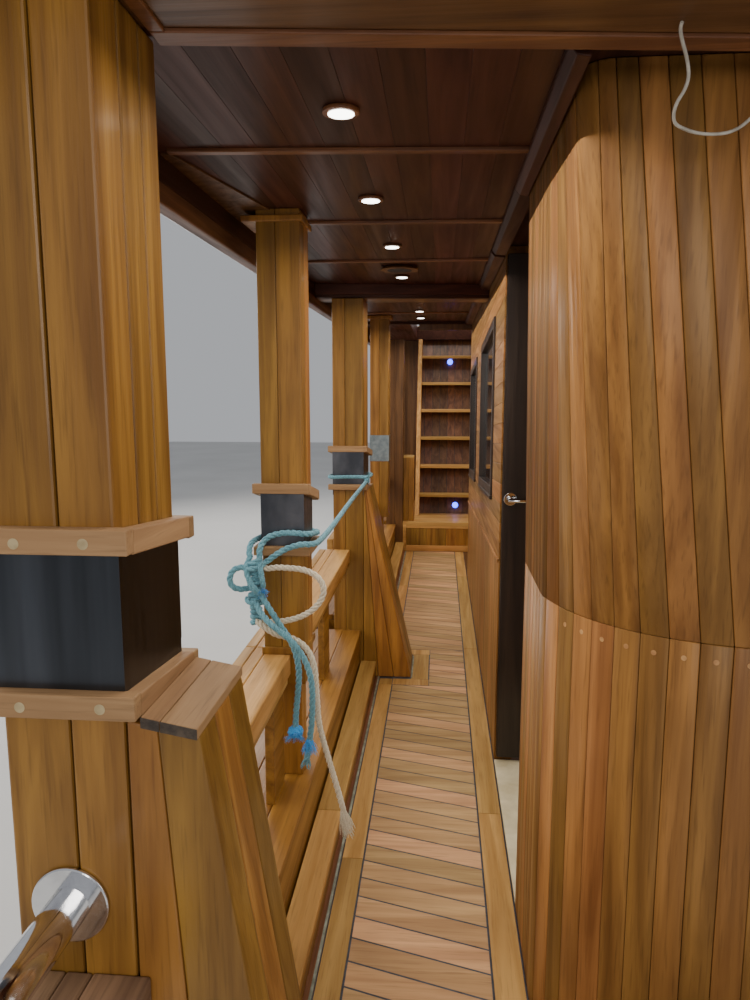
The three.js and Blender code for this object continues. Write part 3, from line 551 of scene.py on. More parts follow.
LAMP_CABLE = [
    (310, 1095.4, 1927.2), (311, 1104, 1923), (317, 1116, 1915), (326, 1128, 1903), (334, 1140, 1890),
    (338, 1150, 1878), (336, 1158, 1866), (330, 1167, 1854), (329, 1178, 1842), (335, 1190, 1833),
    (351, 1200, 1828), (373, 1210, 1825), (399, 1218, 1825), (420, 1222, 1828), (437, 1225, 1835),
    (451, 1228, 1846), (465, 1231, 1861), (476, 1234, 1878), (484, 1238, 1896), (490, 1244, 1913),
    (496, 1254, 1927), (502, 1267, 1935), (504, 1280.6, 1937),
]
LINES = {
    # node: route, yarn, far end, lay
    "mooring_line": (MOORING_LINE, teal_yarn, "knot", "taut"),
    "post_loop": (POST_LOOP, teal_yarn, "knot", "taut"),
    "line_tail": (LINE_TAIL, teal_yarn, "knot", "hanging"),
    "line_end": (LINE_END, teal_yarn, "bare", "hanging"),
    "white_loop": (WHITE_LOOP, white_yarn, "knot", "loose"),
    "white_tail": (WHITE_TAIL, white_yarn, "bare", "hanging"),
}
WHITE_LAY = dict(pitch=2.7, out=0.54, strand_size=0.49)
for node, (route, strand_yarn, far_end, manner) in LINES.items():
    how = WHITE_LAY if "white" in node else {}
    laid_rope(node + "_rope", route, ROPE, strand_yarn, **how)

# %% [markdown]
# ## Knots
#
# A heap of hitches looks solid from a step away but is one line wound on itself. It is drawn as a line
# that climbs round an upright middle, leaning a little differently at each turn. Torn
# yarn stands out of it in bright blue, where the sun hasn't reached.

# %% The heap of hitches
def wound(name, middle, heights, reach, line_radius, turns, material, lean=7.0):
    points = []
    count = turns * 12
    for step in range(count + 1):
        share = step / count
        angle = 2 * math.pi * turns * share
        z = heights[0] + (heights[1] - heights[0]) * share
        swing = math.sin(2 * math.pi * share * 2.3)
        out = reach * (0.92 + 0.08 * math.sin(5.1 * share * math.pi))
        points.append((middle[0] + out * math.cos(angle), middle[1] + out * math.sin(angle),
                       z + lean * swing * math.cos(angle)))
    return laid_rope(name, points, line_radius, material)[0]


knot_wrap = wound("line_knot_wrap", (-528, 2092), (836, 962), 17.5, ROPE, 8, teal_yarn, 5.0)
knot_foot = wound("line_knot_foot", (-528, 2092), (770, 830), 12, 8.5, 4, teal_yarn, 3.0)
CROSSINGS = [
    [(-516, 2097, 965.7), (-512, 2082, 958), (-508, 2070, 945), (-504, 2064, 925), (-501, 2064, 905),
     (-502, 2072, 888)],
    [(-543.9, 2095.8, 969.1), (-548, 2086, 958), (-550, 2074, 944), (-546, 2064, 928), (-538, 2058, 910),
     (-526, 2055, 892), (-514, 2058, 876), (-505.3, 2069.1, 864.3)],
    [(-498.5, 2101.8, 954.2), (-508, 2088, 948), (-518, 2074, 944), (-530, 2066, 942), (-542, 2068, 940),
     (-550, 2080, 936)],
    [(-552, 2080, 850), (-544, 2066, 846), (-530, 2059, 842), (-519.7, 2061.6, 843.1)],
]
for number, points in enumerate(CROSSINGS, 1):
    laid_rope("line_knot_crossing_%d" % number, points, 8.5, teal_yarn)[0]
small_loop = laid_rope("line_knot_loop", [
    (-545, 2084, 938), (-560, 2079, 943), (-576, 2074, 942), (-590, 2070, 933), (-597, 2068, 917),
    (-597, 2068, 900), (-588, 2070, 886), (-573, 2076, 879), (-558, 2083, 878), (-544, 2088, 881),
], ROPE, teal_yarn)[0]
torn_knot = tuft("line_knot_torn", (-502, 2066, 878), (0.4, -1, -0.5), 40, 18, 15, 0.8, blue_yarn, 0.5)
hitch = wound("third_post_hitch", (-352, 3640), (1005, 1034), 7.0, 7.0, 2, teal_yarn, 1.0)
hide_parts("line_knot")


# %% The blue knot and the torn ends
def lump(name, middle, size, material, roughness=0.12):
    bm = bmesh.new()
    bmesh.ops.create_icosphere(bm, subdivisions=4, radius=1)
    for vert in bm.verts:
        co = vert.co
        ripple = math.sin(co.x * 7 + co.z * 9) * math.sin(co.y * 8 - co.z * 5)
        vert.co = co * (1 + roughness * ripple)
    bmesh.ops.transform(bm, verts=bm.verts, matrix=Matrix.Translation(middle) @ Matrix.Diagonal((*size, 1)))
    bmesh.ops.transform(bm, verts=bm.verts, matrix=DRAWING)
    mesh = bpy.data.meshes.new(name)
    bm.to_mesh(mesh)
    bm.free()
    return smooth_piece(name, mesh, material)


blue_knot = lump("tail_knot", (-405, 2030, 471), (22, 18, 18), blue_yarn)
blue_fuzz = tuft("tail_knot_fuzz", (-405, 2019, 468), (0.1, -0.6, -0.6), 70, 22, 24, 0.8, blue_yarn, 0.5)
end_fuzz = tuft("line_end_fuzz", (-359, 2000, 462), (0.0, -0.4, -0.9), 80, 44, 19, 0.9, blue_yarn, 0.4)
end_torn = tuft("line_end_torn", (-367.5, 2005, 403), (-0.15, 0, -1), 22, 34, 12, 1.8, teal_yarn, 0.2)
white_torn = tuft("white_tail_torn", (-270, 2050, 219), (0.21, 0, -1), 60, 84, 17, 2.1, white_yarn, 0.12)
print("torn ends:", len(white_torn.data.polygons), "faces on the white one")

# %% [markdown]
# Each free line's solid in the frame is hidden.

ON_IT = {"mooring_line": [hitch], "line_tail": [blue_knot, blue_fuzz], "line_end": [end_fuzz, end_torn],
         "white_tail": [white_torn]}
for node, (route, strand_yarn, far_end, manner) in LINES.items():
    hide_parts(node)
    "white_rope" if "white" in node else "teal_rope"
    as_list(ON_IT.get(node, []))
cable_path, cable_length = curve_through(LAMP_CABLE, 3)
lamp_cable = drawn_curve("lamp_cable_skin", [cable_path], 2.5, cable_skin, 3)
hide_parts("lamp_cable")
print("lines declared:", len(LINES) + 1)

# %% [markdown]
# ## Boards
#
# Every board starts as a cube. Its eight corners are moved to where the drawing wants them, ends are cut
# with a plane where they meet something at an angle, and the edges are eased with a small bevel, as a
# shipwright would with a block plane. The eased edges catch light and make the seams show.

# %% The bench
bench = bmesh.new()


def lay(part, finish, tone=None):
    layer = part.loops.layers.float_color.new("board")
    if isinstance(tone, tuple):
        mark = tone
    else:
        red = chance.random() if tone is None else tone + chance.uniform(-0.08, 0.08)
        mark = (red, chance.random(), chance.random(), 1)
    for face in part.faces:
        face.material_index = finish
        for loop in face.loops:
            loop[layer] = mark
    carrier = bpy.data.meshes.new("carrier")
    part.to_mesh(carrier)
    part.free()
    bench.from_mesh(carrier)
    bpy.data.meshes.remove(carrier)


def slice_part(part, place, normal, **how):
    everything = part.verts[:] + part.edges[:] + part.faces[:]
    return bmesh.ops.bisect_plane(part, geom=everything, plane_co=place, plane_no=normal, **how)


def cut_ends(part, cuts):
    for place, outwards in cuts:
        made = slice_part(part, place, outwards, clear_outer=True, dist=0.001)
        rim = [item for item in made["geom_cut"] if isinstance(item, bmesh.types.BMEdge)]
        if rim:
            bmesh.ops.contextual_create(part, geom=rim)


def ease(part, edge, chosen=None, clamp=True):
    if edge:
        bmesh.ops.bevel(part, geom=part.edges[:] if chosen is None else chosen, offset=edge, segments=2,
                        profile=0.5, affect="EDGES", material=-1, clamp_overlap=clamp)


def inside(ends, by=0.2):
    return ends[0] + by, ends[1] - by


print("the bench is clear:", len(bench.verts), "corners on it")


# %% Boards and bars
def board(xs, ys, zs, edge=1.5, finish=0, shape=None, cuts=(), tone=None):
    part = bmesh.new()
    bmesh.ops.create_cube(part, size=1)
    for vert in part.verts:
        corner = [ends[0] if value < 0 else ends[1] for ends, value in zip((xs, ys, zs), vert.co)]
        vert.co = shape(*corner) if shape else corner
    cut_ends(part, cuts)
    if part.faces:
        ease(part, edge)
    lay(part, finish, tone)


def split(axis, marks, xs, ys, zs, gap=1.0, **how):
    spans = [xs, ys, zs]
    for ends in zip(marks, marks[1:]):
        spans["XYZ".index(axis)] = inside(ends, gap / 2)
        board(*spans, **how)


def steps(start, end, pitch):
    count = max(round((end - start) / pitch), 1)
    return [start + (end - start) * index / count for index in range(count + 1)]


def bar(axis, outline, ends, edge=1.0, finish=0, tone=None, cuts=()):
    part = bmesh.new()
    at = "XYZ".index(axis)
    verts = []
    for first, second in outline:
        corner = [first, second]
        corner.insert(at, ends[0])
        verts.append(part.verts.new(corner))
    pushed = bmesh.ops.extrude_face_region(part, geom=[part.faces.new(verts)])
    for item in pushed["geom"]:
        if isinstance(item, bmesh.types.BMVert):
            item.co[at] = ends[1]
    cut_ends(part, cuts)
    bmesh.ops.recalc_face_normals(part, faces=part.faces)
    ease(part, edge)
    lay(part, finish, tone)


def drum(radius, length, sides, turning, centre, top=None):
    part = bmesh.new()
    bmesh.ops.create_cone(part, cap_ends=True, segments=sides, radius1=radius,
                          radius2=radius if top is None else top, depth=length)
    bmesh.ops.transform(part, verts=part.verts, matrix=turning)
    bmesh.ops.translate(part, verts=part.verts, vec=centre)
    return part


def round_part(axis, centre, radius, length, finish=0, sides=24, edge=0.0, top=None):
    turned = {"X": (0, 90), "Y": (-90, 0), "Z": (0, 0)}[axis]
    about_x, about_y = (math.radians(angle) for angle in turned)
    turning = Matrix.Rotation(about_x, 4, "X") @ Matrix.Rotation(about_y, 4, "Y")
    middle = list(centre)
    middle["XYZ".index(axis)] += length / 2
    part = drum(radius, length, sides, turning, middle, top)
    for face in part.faces:
        face.smooth = len(face.verts) == 4
    rims = [item for item in part.edges if any(len(face.verts) != 4 for face in item.link_faces)]
    ease(part, edge, rims, False)
    lay(part, finish)


print("a board, a bar and a round part can be laid on the bench")


# %% A finished piece
def settle(node, suffix, materials, body="section", name=None):
    global bench
    name = name or node + "_" + suffix
    bmesh.ops.transform(bench, verts=bench.verts, matrix=DRAWING)
    bmesh.ops.recalc_face_normals(bench, faces=bench.faces)
    mesh = bpy.data.meshes.new(name)
    bench.to_mesh(mesh)
    bench.free()
    bench = bmesh.new()
    for material in materials:
        mesh.materials.append(material)
    piece = linked(name, mesh)
    if node:
        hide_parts(node)
    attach(piece, body)
    print(name + ":", len(mesh.polygons), "faces")


def dress(node, material):
    solid = bpy.data.objects[node]
    solid.data.materials.clear()
    solid.data.materials.append(material)


# %% [markdown]
# ## The deck
#
# Short planks cross the walkway between two margins. They aren't quite square to it: the outboard end of
# each lies farther forward. The margin boards run along, and turn round the foot of the third post's knee.

# %% Deck planks
DECK_SLANT = 0.275
PLANK_PITCH = 84
DECK_EDGE = 148


def bedding(xs, top, seam=1, wood=0):
    board(xs, LENGTH, (-8.2, top), 0, seam)
    board(xs, LENGTH, BED_ZS, 0, wood, tone=0.3)


bedding((-219.8, 147.8), -0.9, 2, 1)
RUNS = [
    # x at the outboard end, y from, y to
    (-220, 700, 3560),
    (-40, 3560, 4080),
    (-220, 4080, 6700),
]
for x0, y0, y1 in RUNS:
    stops = [((0, y0 + 2, 0), (0, -1, 0)), ((0, y1 - 3, 0), (0, 1, 0))]
    count = int((y1 - y0) / PLANK_PITCH) + 3
    for index in range(-2, count):
        y = y0 + index * PLANK_PITCH
        near = y + DECK_SLANT * (DECK_EDGE - x0)
        if near + PLANK_PITCH - 6 < y0 + 12 or y > y1 - 14:
            continue
        slanted = lambda x, y, z: (x, y + DECK_SLANT * (DECK_EDGE - x), z)
        board((x0 + 3, DECK_EDGE - 3), (y + 3, y + PLANK_PITCH - 3), PLANK_ZS, 0.6, 0, slanted, stops)
for xs, ys in (((-290, -40), (3563, 3640)), ((-130, -43), (3642, 3999)), ((-220, -40), (4001, 4077))):
    board((max(xs[0], -219.5), xs[1]), ys, PLANK_ZS, 1.0, 1)
settle("deck_planking", "", [deck_x, raw_y, deck_seam], name="deck_planks")

# %% Margins and waterway
MARGINS = [
    # name, x of the bedding, x of the boards, where each board starts and ends
    ("outboard", (-289.8, -220.2), (-287, -223),
     ((702, 2150), (2152, 3562), (3564, 3638), (4000, 5480), (5482, 6698))),
    ("inboard", (148.2, HOUSE_SIDE), (151, 226), ((702, 2439), (2441, 4120), (4122, 5789), (5791, 6698))),
]
for name, bed_xs, xs, lengths in MARGINS:
    bedding(bed_xs, -4)
    for ys in lengths:
        board(xs, ys, PLANK_ZS, 1.2)
    settle("margin_" + name, "boards", [raw_y, deck_seam])
board((-641.8, -290.2), LENGTH, (-41.8, -1), 1, 0)
board((-299, -290.4), (1100, 6700), (-6, -0.2), 1.5, 1)
settle("waterway", "board", [dark_y, sealant])
bedding((230.2, INBOARD), -3)
split("X", steps(230.2, INBOARD, 96), None, LENGTH, PLANK_ZS, 1.5, edge=1.2)
settle("house_floor", "boards", [dark_y, caulk])
board((230.3, INBOARD), (1975.2, 2809.8), (0.2, 11.8), 2.5, 0)
settle("threshold", "stone", [stone])

# %% [markdown]
# ## Step, ledge and rail
#
# Beside the deck a low step leads to a broad ledge. Board stanchions stand on the ledge and carry a rail
# of three planks over a thin moulding. The slim posts pass through the rail.

# %% Steps
for name, y0, y1 in (("fore", 1100, 3660), ("aft", 3960, 6700)):
    board((-384.8, -312), inside((y0, y1)), (0.2, 56), 1, 1)
    joints = [y0 + 0.2, y0 + (y1 - y0) * 0.46, y1 - 0.2]
    split("Y", joints, (-384.8, -307.2), None, (55, 82.8), 0.8, edge=3, finish=0)
    settle("step_" + name, "boards", [raw_y, varnish_y])


# %% Ledges
def ledge(xs, ys, posts, width, height=565):
    x0, x1 = xs
    board((x0 + 0.2, x1 - 14), inside(ys, 2), (0.2, 238), 0, 1)
    joints = steps(ys[0] + 0.2, ys[1] - 0.2, 2700)
    split("Y", joints, (x1 - 16, x1 - 7), None, (0.2, 106), 0.8, edge=2, tone=0.45)
    split("Y", joints, (x1 - 16, x1 - 5), None, (107, 216), 0.8, edge=2, tone=0.35)
    for low, high in ((x0, x0 + 78), (x0 + 79, x0 + 166), (x0 + 167, x1)):
        split("Y", joints, inside((low, high)), None, (215, 244.8), 0.8, edge=3, tone=0.6)
    for y in (ys[0] + 0.2, ys[1] - 2.2):
        split("Z", [0.2, 106, 215], (x0 + 0.2, x1 - 15.5), (y, y + 2), None, 0.8, edge=0.5, tone=0.4)
    for y in posts:
        board((-494.8, -467.2), (y - width / 2, y + width / 2), (244, height), 3, tone=0.5)


LEDGES = {"fore": ((1100, 3660), (1250, 2090, 3050)), "aft": ((3910, 6700), (4300, 5060, 5900))}
for name, (ys, posts) in LEDGES.items():
    ledge((-642, -385), ys, posts, 141)
    settle("ledge_" + name, "boards", [varnish_y, caulk])


# %% Rails
def rail(ys, slots, joints=(), shift=0, finish=0):
    start, end = inside(ys)
    marks = [start, *joints, end]
    bounds = [start, end]
    for slot_ys, slot_x in slots:
        bounds[-1:-1] = [slot_ys[0] - 0.5, slot_ys[1] + 0.5]
    for low, high, tone in ((-594.8, -560, 0.5), (-559.4, -522, 0.75)):
        split("Y", marks, (low + shift, high + shift), None, CAP_ZS, 0.8, edge=4, tone=tone,
              finish=finish)
    for start, end in zip(bounds[::2], bounds[1::2]):
        board((-521.4 + shift, -440.2 + shift), (start, end), CAP_ZS, 4, finish, tone=0.8)
        board((-584.8 + shift, -450.2 + shift), (start, end), SILL_ZS, 3, finish, tone=0.3)
    for slot_ys, slot_x in slots:
        filled = (slot_ys[0] - 1, slot_ys[1] + 1)
        if slot_x - 1 > -521:
            board((-521.4, slot_x - 1), filled, CAP_ZS, 1.5, tone=0.8)
        board((-584.8, min(slot_x - 1, -450.2)), filled, SILL_ZS, 1, tone=0.3)


rail((1100, 3660), [((2150, 2290), -520)], [2206])
settle("rail_fore", "boards", [raw_y])
rail((3910, 6700), [((5200, 5330), -480)], [5260])
settle("rail_aft", "boards", [raw_y])
ledge((-642, -385), (700, 890), (731,), 60)
rail((700, 890), [], shift=58, finish=2)
settle("bulwark_near", "boards", [varnish_y, caulk, worn_y])
ledge((-642, -290), (6900, 8058), (7987,), 141, 650)
rail((6900, 8058), [])
settle("bulwark_far", "boards", [varnish_y, caulk])

# %% [markdown]
# ## Posts
#
# A post is a bundle of upright staves glued edge to edge. Three of them carry collars of bare teak above
# and below a band of sheet steel. Some collars sag aft, and the steel shows in the strip they leave bare.

# %% Posts of staves
def post(xs, ys, zs, x_marks, y_marks, edge=4.0, tones=None, gap=0.5):
    x_edges = [xs[0] + 0.15, *x_marks, xs[1] - 0.15]
    y_edges = [ys[0] + 0.15, *y_marks, ys[1] - 0.15]
    board(inside(xs, 10), inside(ys, 10), inside(zs, 1), 0, 1)
    for column, (low, high) in enumerate(zip(x_edges, x_edges[1:])):
        for row, (front, back) in enumerate(zip(y_edges, y_edges[1:])):
            tone = None if tones is None else tones[(column * 3 + row) % len(tones)]
            board((low, high - gap), (front, back - gap), inside(zs), edge, tone=tone)


def collar(xs, ys, zs, sag=0.0, reach=22, plugs=(), lower=False):
    x0, x1, y0, y1 = xs[0] - reach + 0.2, xs[1] + reach - 0.2, ys[0] - reach + 0.2, ys[1] + reach - 0.2
    low, high = inside(zs)
    board((x0, x1), (y0, ys[0] + 1), (low, high), 2, 2, tone=0.7)
    board((x0, x1), (ys[1] - 1, y1), (low - sag, high - sag), 2, 2, tone=0.5)
    lean = lambda x, y, z: (x, y, z - sag * (y - y0) / (y1 - y0))
    for side, tone in (((x0, xs[0] + 1), 0.6), ((xs[1] - 1, x1), 0.75)):
        board(side, ys, (low, high), 2, 3, lean, tone=tone)
    middle = (zs[0] + zs[1]) / 2
    for x, z in plugs:
        round_part("Y", (x, y0 - 0.4, z), 7, 6, 4, 20)
    if lower and sag:
        for bare_xs, bare_ys in (((xs[1] - 1, xs[1] + 1.9), ys), ((xs[0] - 1.9, xs[0] + 1), ys),
                                 (xs, (ys[1] - 1, ys[1] + 1.9))):
            board(bare_xs, bare_ys, (middle - sag, zs[1] + 0.2), 0, 5)


print("posts stand on", POST_1, "and", POST_3)

# %% The five posts
POST_FINISHES = [varnish_z, caulk, collar_x, collar_y, pale_bung, dull_steel]
post(*POST_1, (0, 1930), [-475], [971, 1039], 4, [0.25, 0.4, 0.15, 0.4, 0.2, 0.3], 2.5)
collar(*POST_1, (1034, 1067), 23, plugs=((-530, 1049), (-424, 1050)), lower=True)
collar(*POST_1, (1248, 1281), 23, plugs=((-523, 1262), (-434, 1263)))
settle("post_1", "staves", POST_FINISHES[:5] + [steel])
post(*POST_2, (565, 1950), [-465], [2220], 3)
collar(*POST_2, (967, 994), lower=True)
collar(*POST_2, (1151, 1180), 40)
board((-484.8, -416.2), (2200.2, 2269.8), (245.2, 566), 3)
board((-526, -389), (2142, 2298), (659.8, 682), 2.5, tone=0.3)
board((-560, -386), (2140, 2300), (1914, 1931), 3, tone=0.7)
settle("post_2", "staves", POST_FINISHES)
post(*POST_3, (0, 1884), [-460], [3743, 3827], 3)
collar(*POST_3, (963, 990), 40, lower=True)
collar(*POST_3, (1150, 1179), 40)
settle("post_3", "staves", POST_FINISHES)
post(*POST_4, (565, 1950), [-415], [5265], 3)
board((-459.8, -391.2), (5230.2, 5299.8), (245.2, 566), 3)
board((-498, -332), (5184, 5346), (1925, 1949.8), 5, tone=0.7)
settle("post_4", "staves", POST_FINISHES)
# The fifth post takes the dark teak in its lowest tones: painted shade, for this post stands in shadow.
post(*POST_5, (0, 1890), [-397], [6767, 6833], 3, [0.1, 0.2, 0.15])
settle("post_5", "staves", [dark_z, caulk])

# %% [markdown]
# ## Knees
#
# The big posts are buttressed on the deck side by sloping knees of converging planks.

# %% Knees
def sloping(back, foot, top_x, top_z, ys, marks, rise=0, edge=3):
    def leaned(share_low, share_high):
        def shape(x, y, z):
            share = share_low if x < 0.5 else share_high
            low = back + (foot - back) * share
            high = back + (top_x - back) * share
            return (low + (high - low) * z / top_z, y, z + rise * (1 - share) * z / top_z)
        return shape
    for row, (front, rear) in enumerate(zip(ys, ys[1:])):
        for low, high in zip(marks, marks[1:]):
            board((0, 1), (front + 0.3, rear - 0.3), (0.5, top_z - 0.2), edge,
                  shape=leaned(low + 0.003, high - 0.003))


sloping(-399.7, -145, -303, 1008, (890, 960, 1030, 1100), (0, 0.42, 1), 18)
for low, high in ((-377.2, -352.5), (-351.5, -303.2)):
    climb = [18 * (-303 - x) / 97 for x in (low, high)]
    under, over = 1007.5, 1021.8
    outline = [(low, under + climb[0]), (high, under + climb[1]),
               (high, over + climb[1]), (low, over + climb[0])]
    bar("Y", outline, (882, 1104.8), 1.5, 1, tone=0.7)
    bar("Y", outline, (880.2, 882), 0.6, 2, tone=0.2)
settle("knee_1", "planks", [varnish_z, collar_y, end_grain])
sloping(-371.7, -130, -350, 960, (3660, 3760, 3860, 3960), (0, 0.31, 0.64, 1))
board((-130.5, -123), (3656, 3964), (0.2, 4), 1.2, 1)
settle("knee_3", "planks", [varnish_z, sealant])
board((-312, -236), (6762, 6888), (270, 850), 0, 1)
split("X", steps(-321.5, -224.2, 49), None, (6750.2, 6899.8), (268.5, 845), 0.8, edge=2.5)
board((-321.5, -224.2), (6750.2, 6899.8), (843, 859.8), 3, 2)
settle("knee_5", "planks", [varnish_z, caulk, raw_x])

# %% [markdown]
# ## The houses
#
# The near house turns the corner of the walkway with a wall in two tiers. The lower planks stand upright.
# Above the knuckle the same planks lean, because the corner is round at the knuckle but tight at the top.

# %% Plan lines of the near wall
def plan_line(points, curve):
    line = [Vector(point) for point in points[:2]]
    start, bend, end = (Vector(point) for point in curve)
    for step in range(25):
        t = step / 24
        line.append(start * (1 - t) ** 2 + bend * 2 * t * (1 - t) + end * t ** 2)
    line += [Vector(point) for point in points[2:]]
    return line


def along(line, distance):
    for first, second in zip(line, line[1:]):
        length = (second - first).length
        if length < 0.001:
            continue
        if distance <= length or second is line[-1]:
            ahead = (second - first) / length
            place = first + ahead * distance
            return place, Vector((-ahead.y, ahead.x))
        distance -= length


knuckle_line = plan_line([(230, 1970), (230, 1640), (1600, 1320)], [(230, 1640), (290, 1370), (550, 1320)])
top_line = plan_line([(213, 1970), (213, 1340), (1600, 1280)], [(213, 1340), (216, 1283), (273, 1280)])
BOUNDARIES = [(414 * index / 7, 440 * index / 7) for index in range(8)]
BOUNDARIES += [(467, 529), (520, 626), (573, 690), (626, 718), (679, 752), (732, 797), (787, 846), (842, 895)]
while BOUNDARIES[-1][1] < 1570:
    BOUNDARIES.append((BOUNDARIES[-1][0] + 55, BOUNDARIES[-1][1] + 49))
print("planks round the corner:", len(BOUNDARIES) - 1)


# %% One plank of the near wall
def wall_plank(lines, spans, zs, edge=2.2, depth=34.0, inset=0.0, finish=0, tone=None, joint=None):
    part = bmesh.new()
    bmesh.ops.create_cube(part, size=1)
    for place in (-1 / 6, 1 / 6):
        slice_part(part, (place, 0, 0), (1, 0, 0))
    for vert in part.verts:
        level = 0 if vert.co.z < 0 else 1
        low, high = spans[level]
        place, normal = along(lines[level], low + (high - low) * (vert.co.x + 0.5))
        reach = inset if vert.co.y < 0 else depth
        vert.co = (place.x + normal.x * reach, place.y + normal.y * reach, zs[level])
    cut_ends(part, [((INBOARD, 0, 0), (1, 0, 0))])
    bmesh.ops.recalc_face_normals(part, faces=part.faces)
    corners = [item for item in part.edges if item.calc_face_angle(0) > math.radians(35)]
    if joint is not None:
        corners = [item for item in corners if any(abs(vert.co.z - joint) > 1 for vert in item.verts)]
    ease(part, edge, corners)
    for face in part.faces:
        face.smooth = len(face.verts) == 4 and abs(face.normal.z) < 0.5 and edge > 0
    lay(part, finish, tone)


print("a plank's corners over 35 degrees are eased")

# %% Near wall
WHOLE_PLANKS = 7
SHARED = [(chance.random(), chance.random(), chance.random(), 1) for _ in range(WHOLE_PLANKS)]
TIERS = [
    # name, lower line, upper line, columns of the table, foot, head
    ("low", knuckle_line, knuckle_line, (0, 0), 0.3, 999.9),
    ("high", knuckle_line, top_line, (0, 1), 1000.1, 1961.5),
]
for name, low_line, high_line, columns, foot, head in TIERS:
    for number, (first, second) in enumerate(zip(BOUNDARIES, BOUNDARIES[1:])):
        spans = [(first[column] + 0.4, second[column] - 0.4) for column in columns]
        if min(along(line, span[0])[0].x for line, span in zip((low_line, high_line), spans)) > 1085:
            continue
        through = number < WHOLE_PLANKS
        wall_plank((low_line, high_line), spans, (foot, head), tone=SHARED[number] if through else None,
                   joint=1000 if through else None)
        wide = [(low - 0.4, high + 0.4) for low, high in spans]
        wall_plank((low_line, high_line), wide, (foot + 0.5, head - 0.5), 0, 26, 8, 1)
    for first, second in zip(BOUNDARIES[7:], BOUNDARIES[8:]):
        z = 968 if name == "low" else 1030
        place, normal = along(knuckle_line, (first[0] + second[0]) / 2)
        if place.x < 1080:
            back = math.degrees(math.atan2(normal.y, normal.x))
            turning = Matrix.Rotation(math.radians(back), 4, "Z") @ Matrix.Rotation(math.radians(90), 4, "Y")
            out = 3.6 + (0 if name == "low" else 0.6)
            spot = (place.x + normal.x * out, place.y + normal.y * out, z)
            lay(drum(5, 8, 16, turning, spot), 2)
    settle("near_wall_" + name, "planks", [wall_z, caulk, bung])
board((266.2, INBOARD), (1940, 1964), WALL_ZS, 0, 1)
split("X", steps(266.2, INBOARD, WALL_PITCH), None, (1934.2, 1969.8), WALL_ZS, 0.8, edge=2.2)
settle("near_house_back", "planks", [wall_z, caulk])

# %% [markdown]
# The far house has upright planks below its windows and level boards between and above them. The boards and
# windows drop towards the far end with the boat's sheer. Past the windows the wall steps in round the stair.

# %% Far wall
SHEER = 0.07
BELT = 775
LEVEL_PITCH = 76
WINDOW_SPANS = ((3260, 4250), (4750, 5620))
WINDOW_ZS = (994, 1758)
FAR_YS = (2832.2, 5799.8)
CEILING_CUT = [((0, 0, WALL_TOP), (0, 0, 1))]


def sheered(x, y, z):
    return x, y, z - SHEER * (y - WINDOW_SPANS[0][0])


def foot_level(x, y, z):
    return (x, y, z) if z < 1 else sheered(x, y, z)


core = (239, 258)
ends = (FAR_YS[0] + 2, FAR_YS[1] - 2)
board(core, ends, (0.5, WINDOW_ZS[0] - 4), 0, 1, foot_level)
board(core, ends, (WINDOW_ZS[1] + 4, 2200), 0, 1, sheered, CEILING_CUT)
split("Y", steps(*FAR_YS, WALL_PITCH), WALL_XS, None, (0.3, BELT), 0.8, edge=2, shape=foot_level)
for z in steps(BELT, WINDOW_ZS[0], 73)[:-1]:
    board(WALL_XS, FAR_YS, (z + 0.4, z + 72.6), 2, 2, sheered)
between = ((FAR_YS[0], 3259.8), (4250.2, 4749.8), (5620.2, FAR_YS[1]))
for low, high in between:
    board(core, (low + 2, high - 2), (WINDOW_ZS[0] - 5, WINDOW_ZS[1] + 5), 0, 1, sheered)
    split("Z", steps(*WINDOW_ZS, LEVEL_PITCH), WALL_XS, (low, high), None, 0.8, edge=2, finish=2,
          shape=sheered)
split("Z", steps(WINDOW_ZS[1], 2170, LEVEL_PITCH), WALL_XS, FAR_YS, None, 0.8, edge=2, finish=2,
      shape=sheered, cuts=CEILING_CUT)
board((224, 231), (FAR_YS[0] + 1, FAR_YS[1]), (BELT - 6, BELT + 7), 2, 2, sheered, tone=0.9)
split("X", steps(266.2, 465.8, 66), None, (5764.2, 5799.8), WALL_ZS, 0.8, edge=2)
board((439, 458), (5801, 8056), CORE_ZS, 0, 1)
split("Y", steps(5800.2, 8057.8, WALL_PITCH), (430.2, 465.8), None, WALL_ZS, 0.8, edge=2)
settle("far_wall", "planks", [wall_z, caulk, wall_y])

# %% Window frames
FRAME_XS = (222.2, 261.8)
FRAME_WIDTH = 45
for number, (y0, y1) in enumerate(WINDOW_SPANS, 1):
    z0, z1 = WINDOW_ZS
    for zs in ((z0 + 0.5, z0 + FRAME_WIDTH - 0.2), (z1 - FRAME_WIDTH + 0.2, z1 - 0.5)):
        board(FRAME_XS, (y0 + 0.5, y1 - 0.5), zs, 3, 1, sheered)
    for ys in ((y0 + 0.5, y0 + FRAME_WIDTH - 0.2), (y1 - FRAME_WIDTH + 0.2, y1 - 0.5)):
        board(FRAME_XS, ys, (z0 + FRAME_WIDTH - 2, z1 - FRAME_WIDTH + 2), 3, 0, sheered)
    board((218, 232), (y0 - 12, y1 + 12), (z0 - 14, z0 + 4), 4, 1, sheered)
    settle("window_frame_%d" % number, "boards", [stain_z, stain_y])
    dress("window_glass_%d" % number, glass)

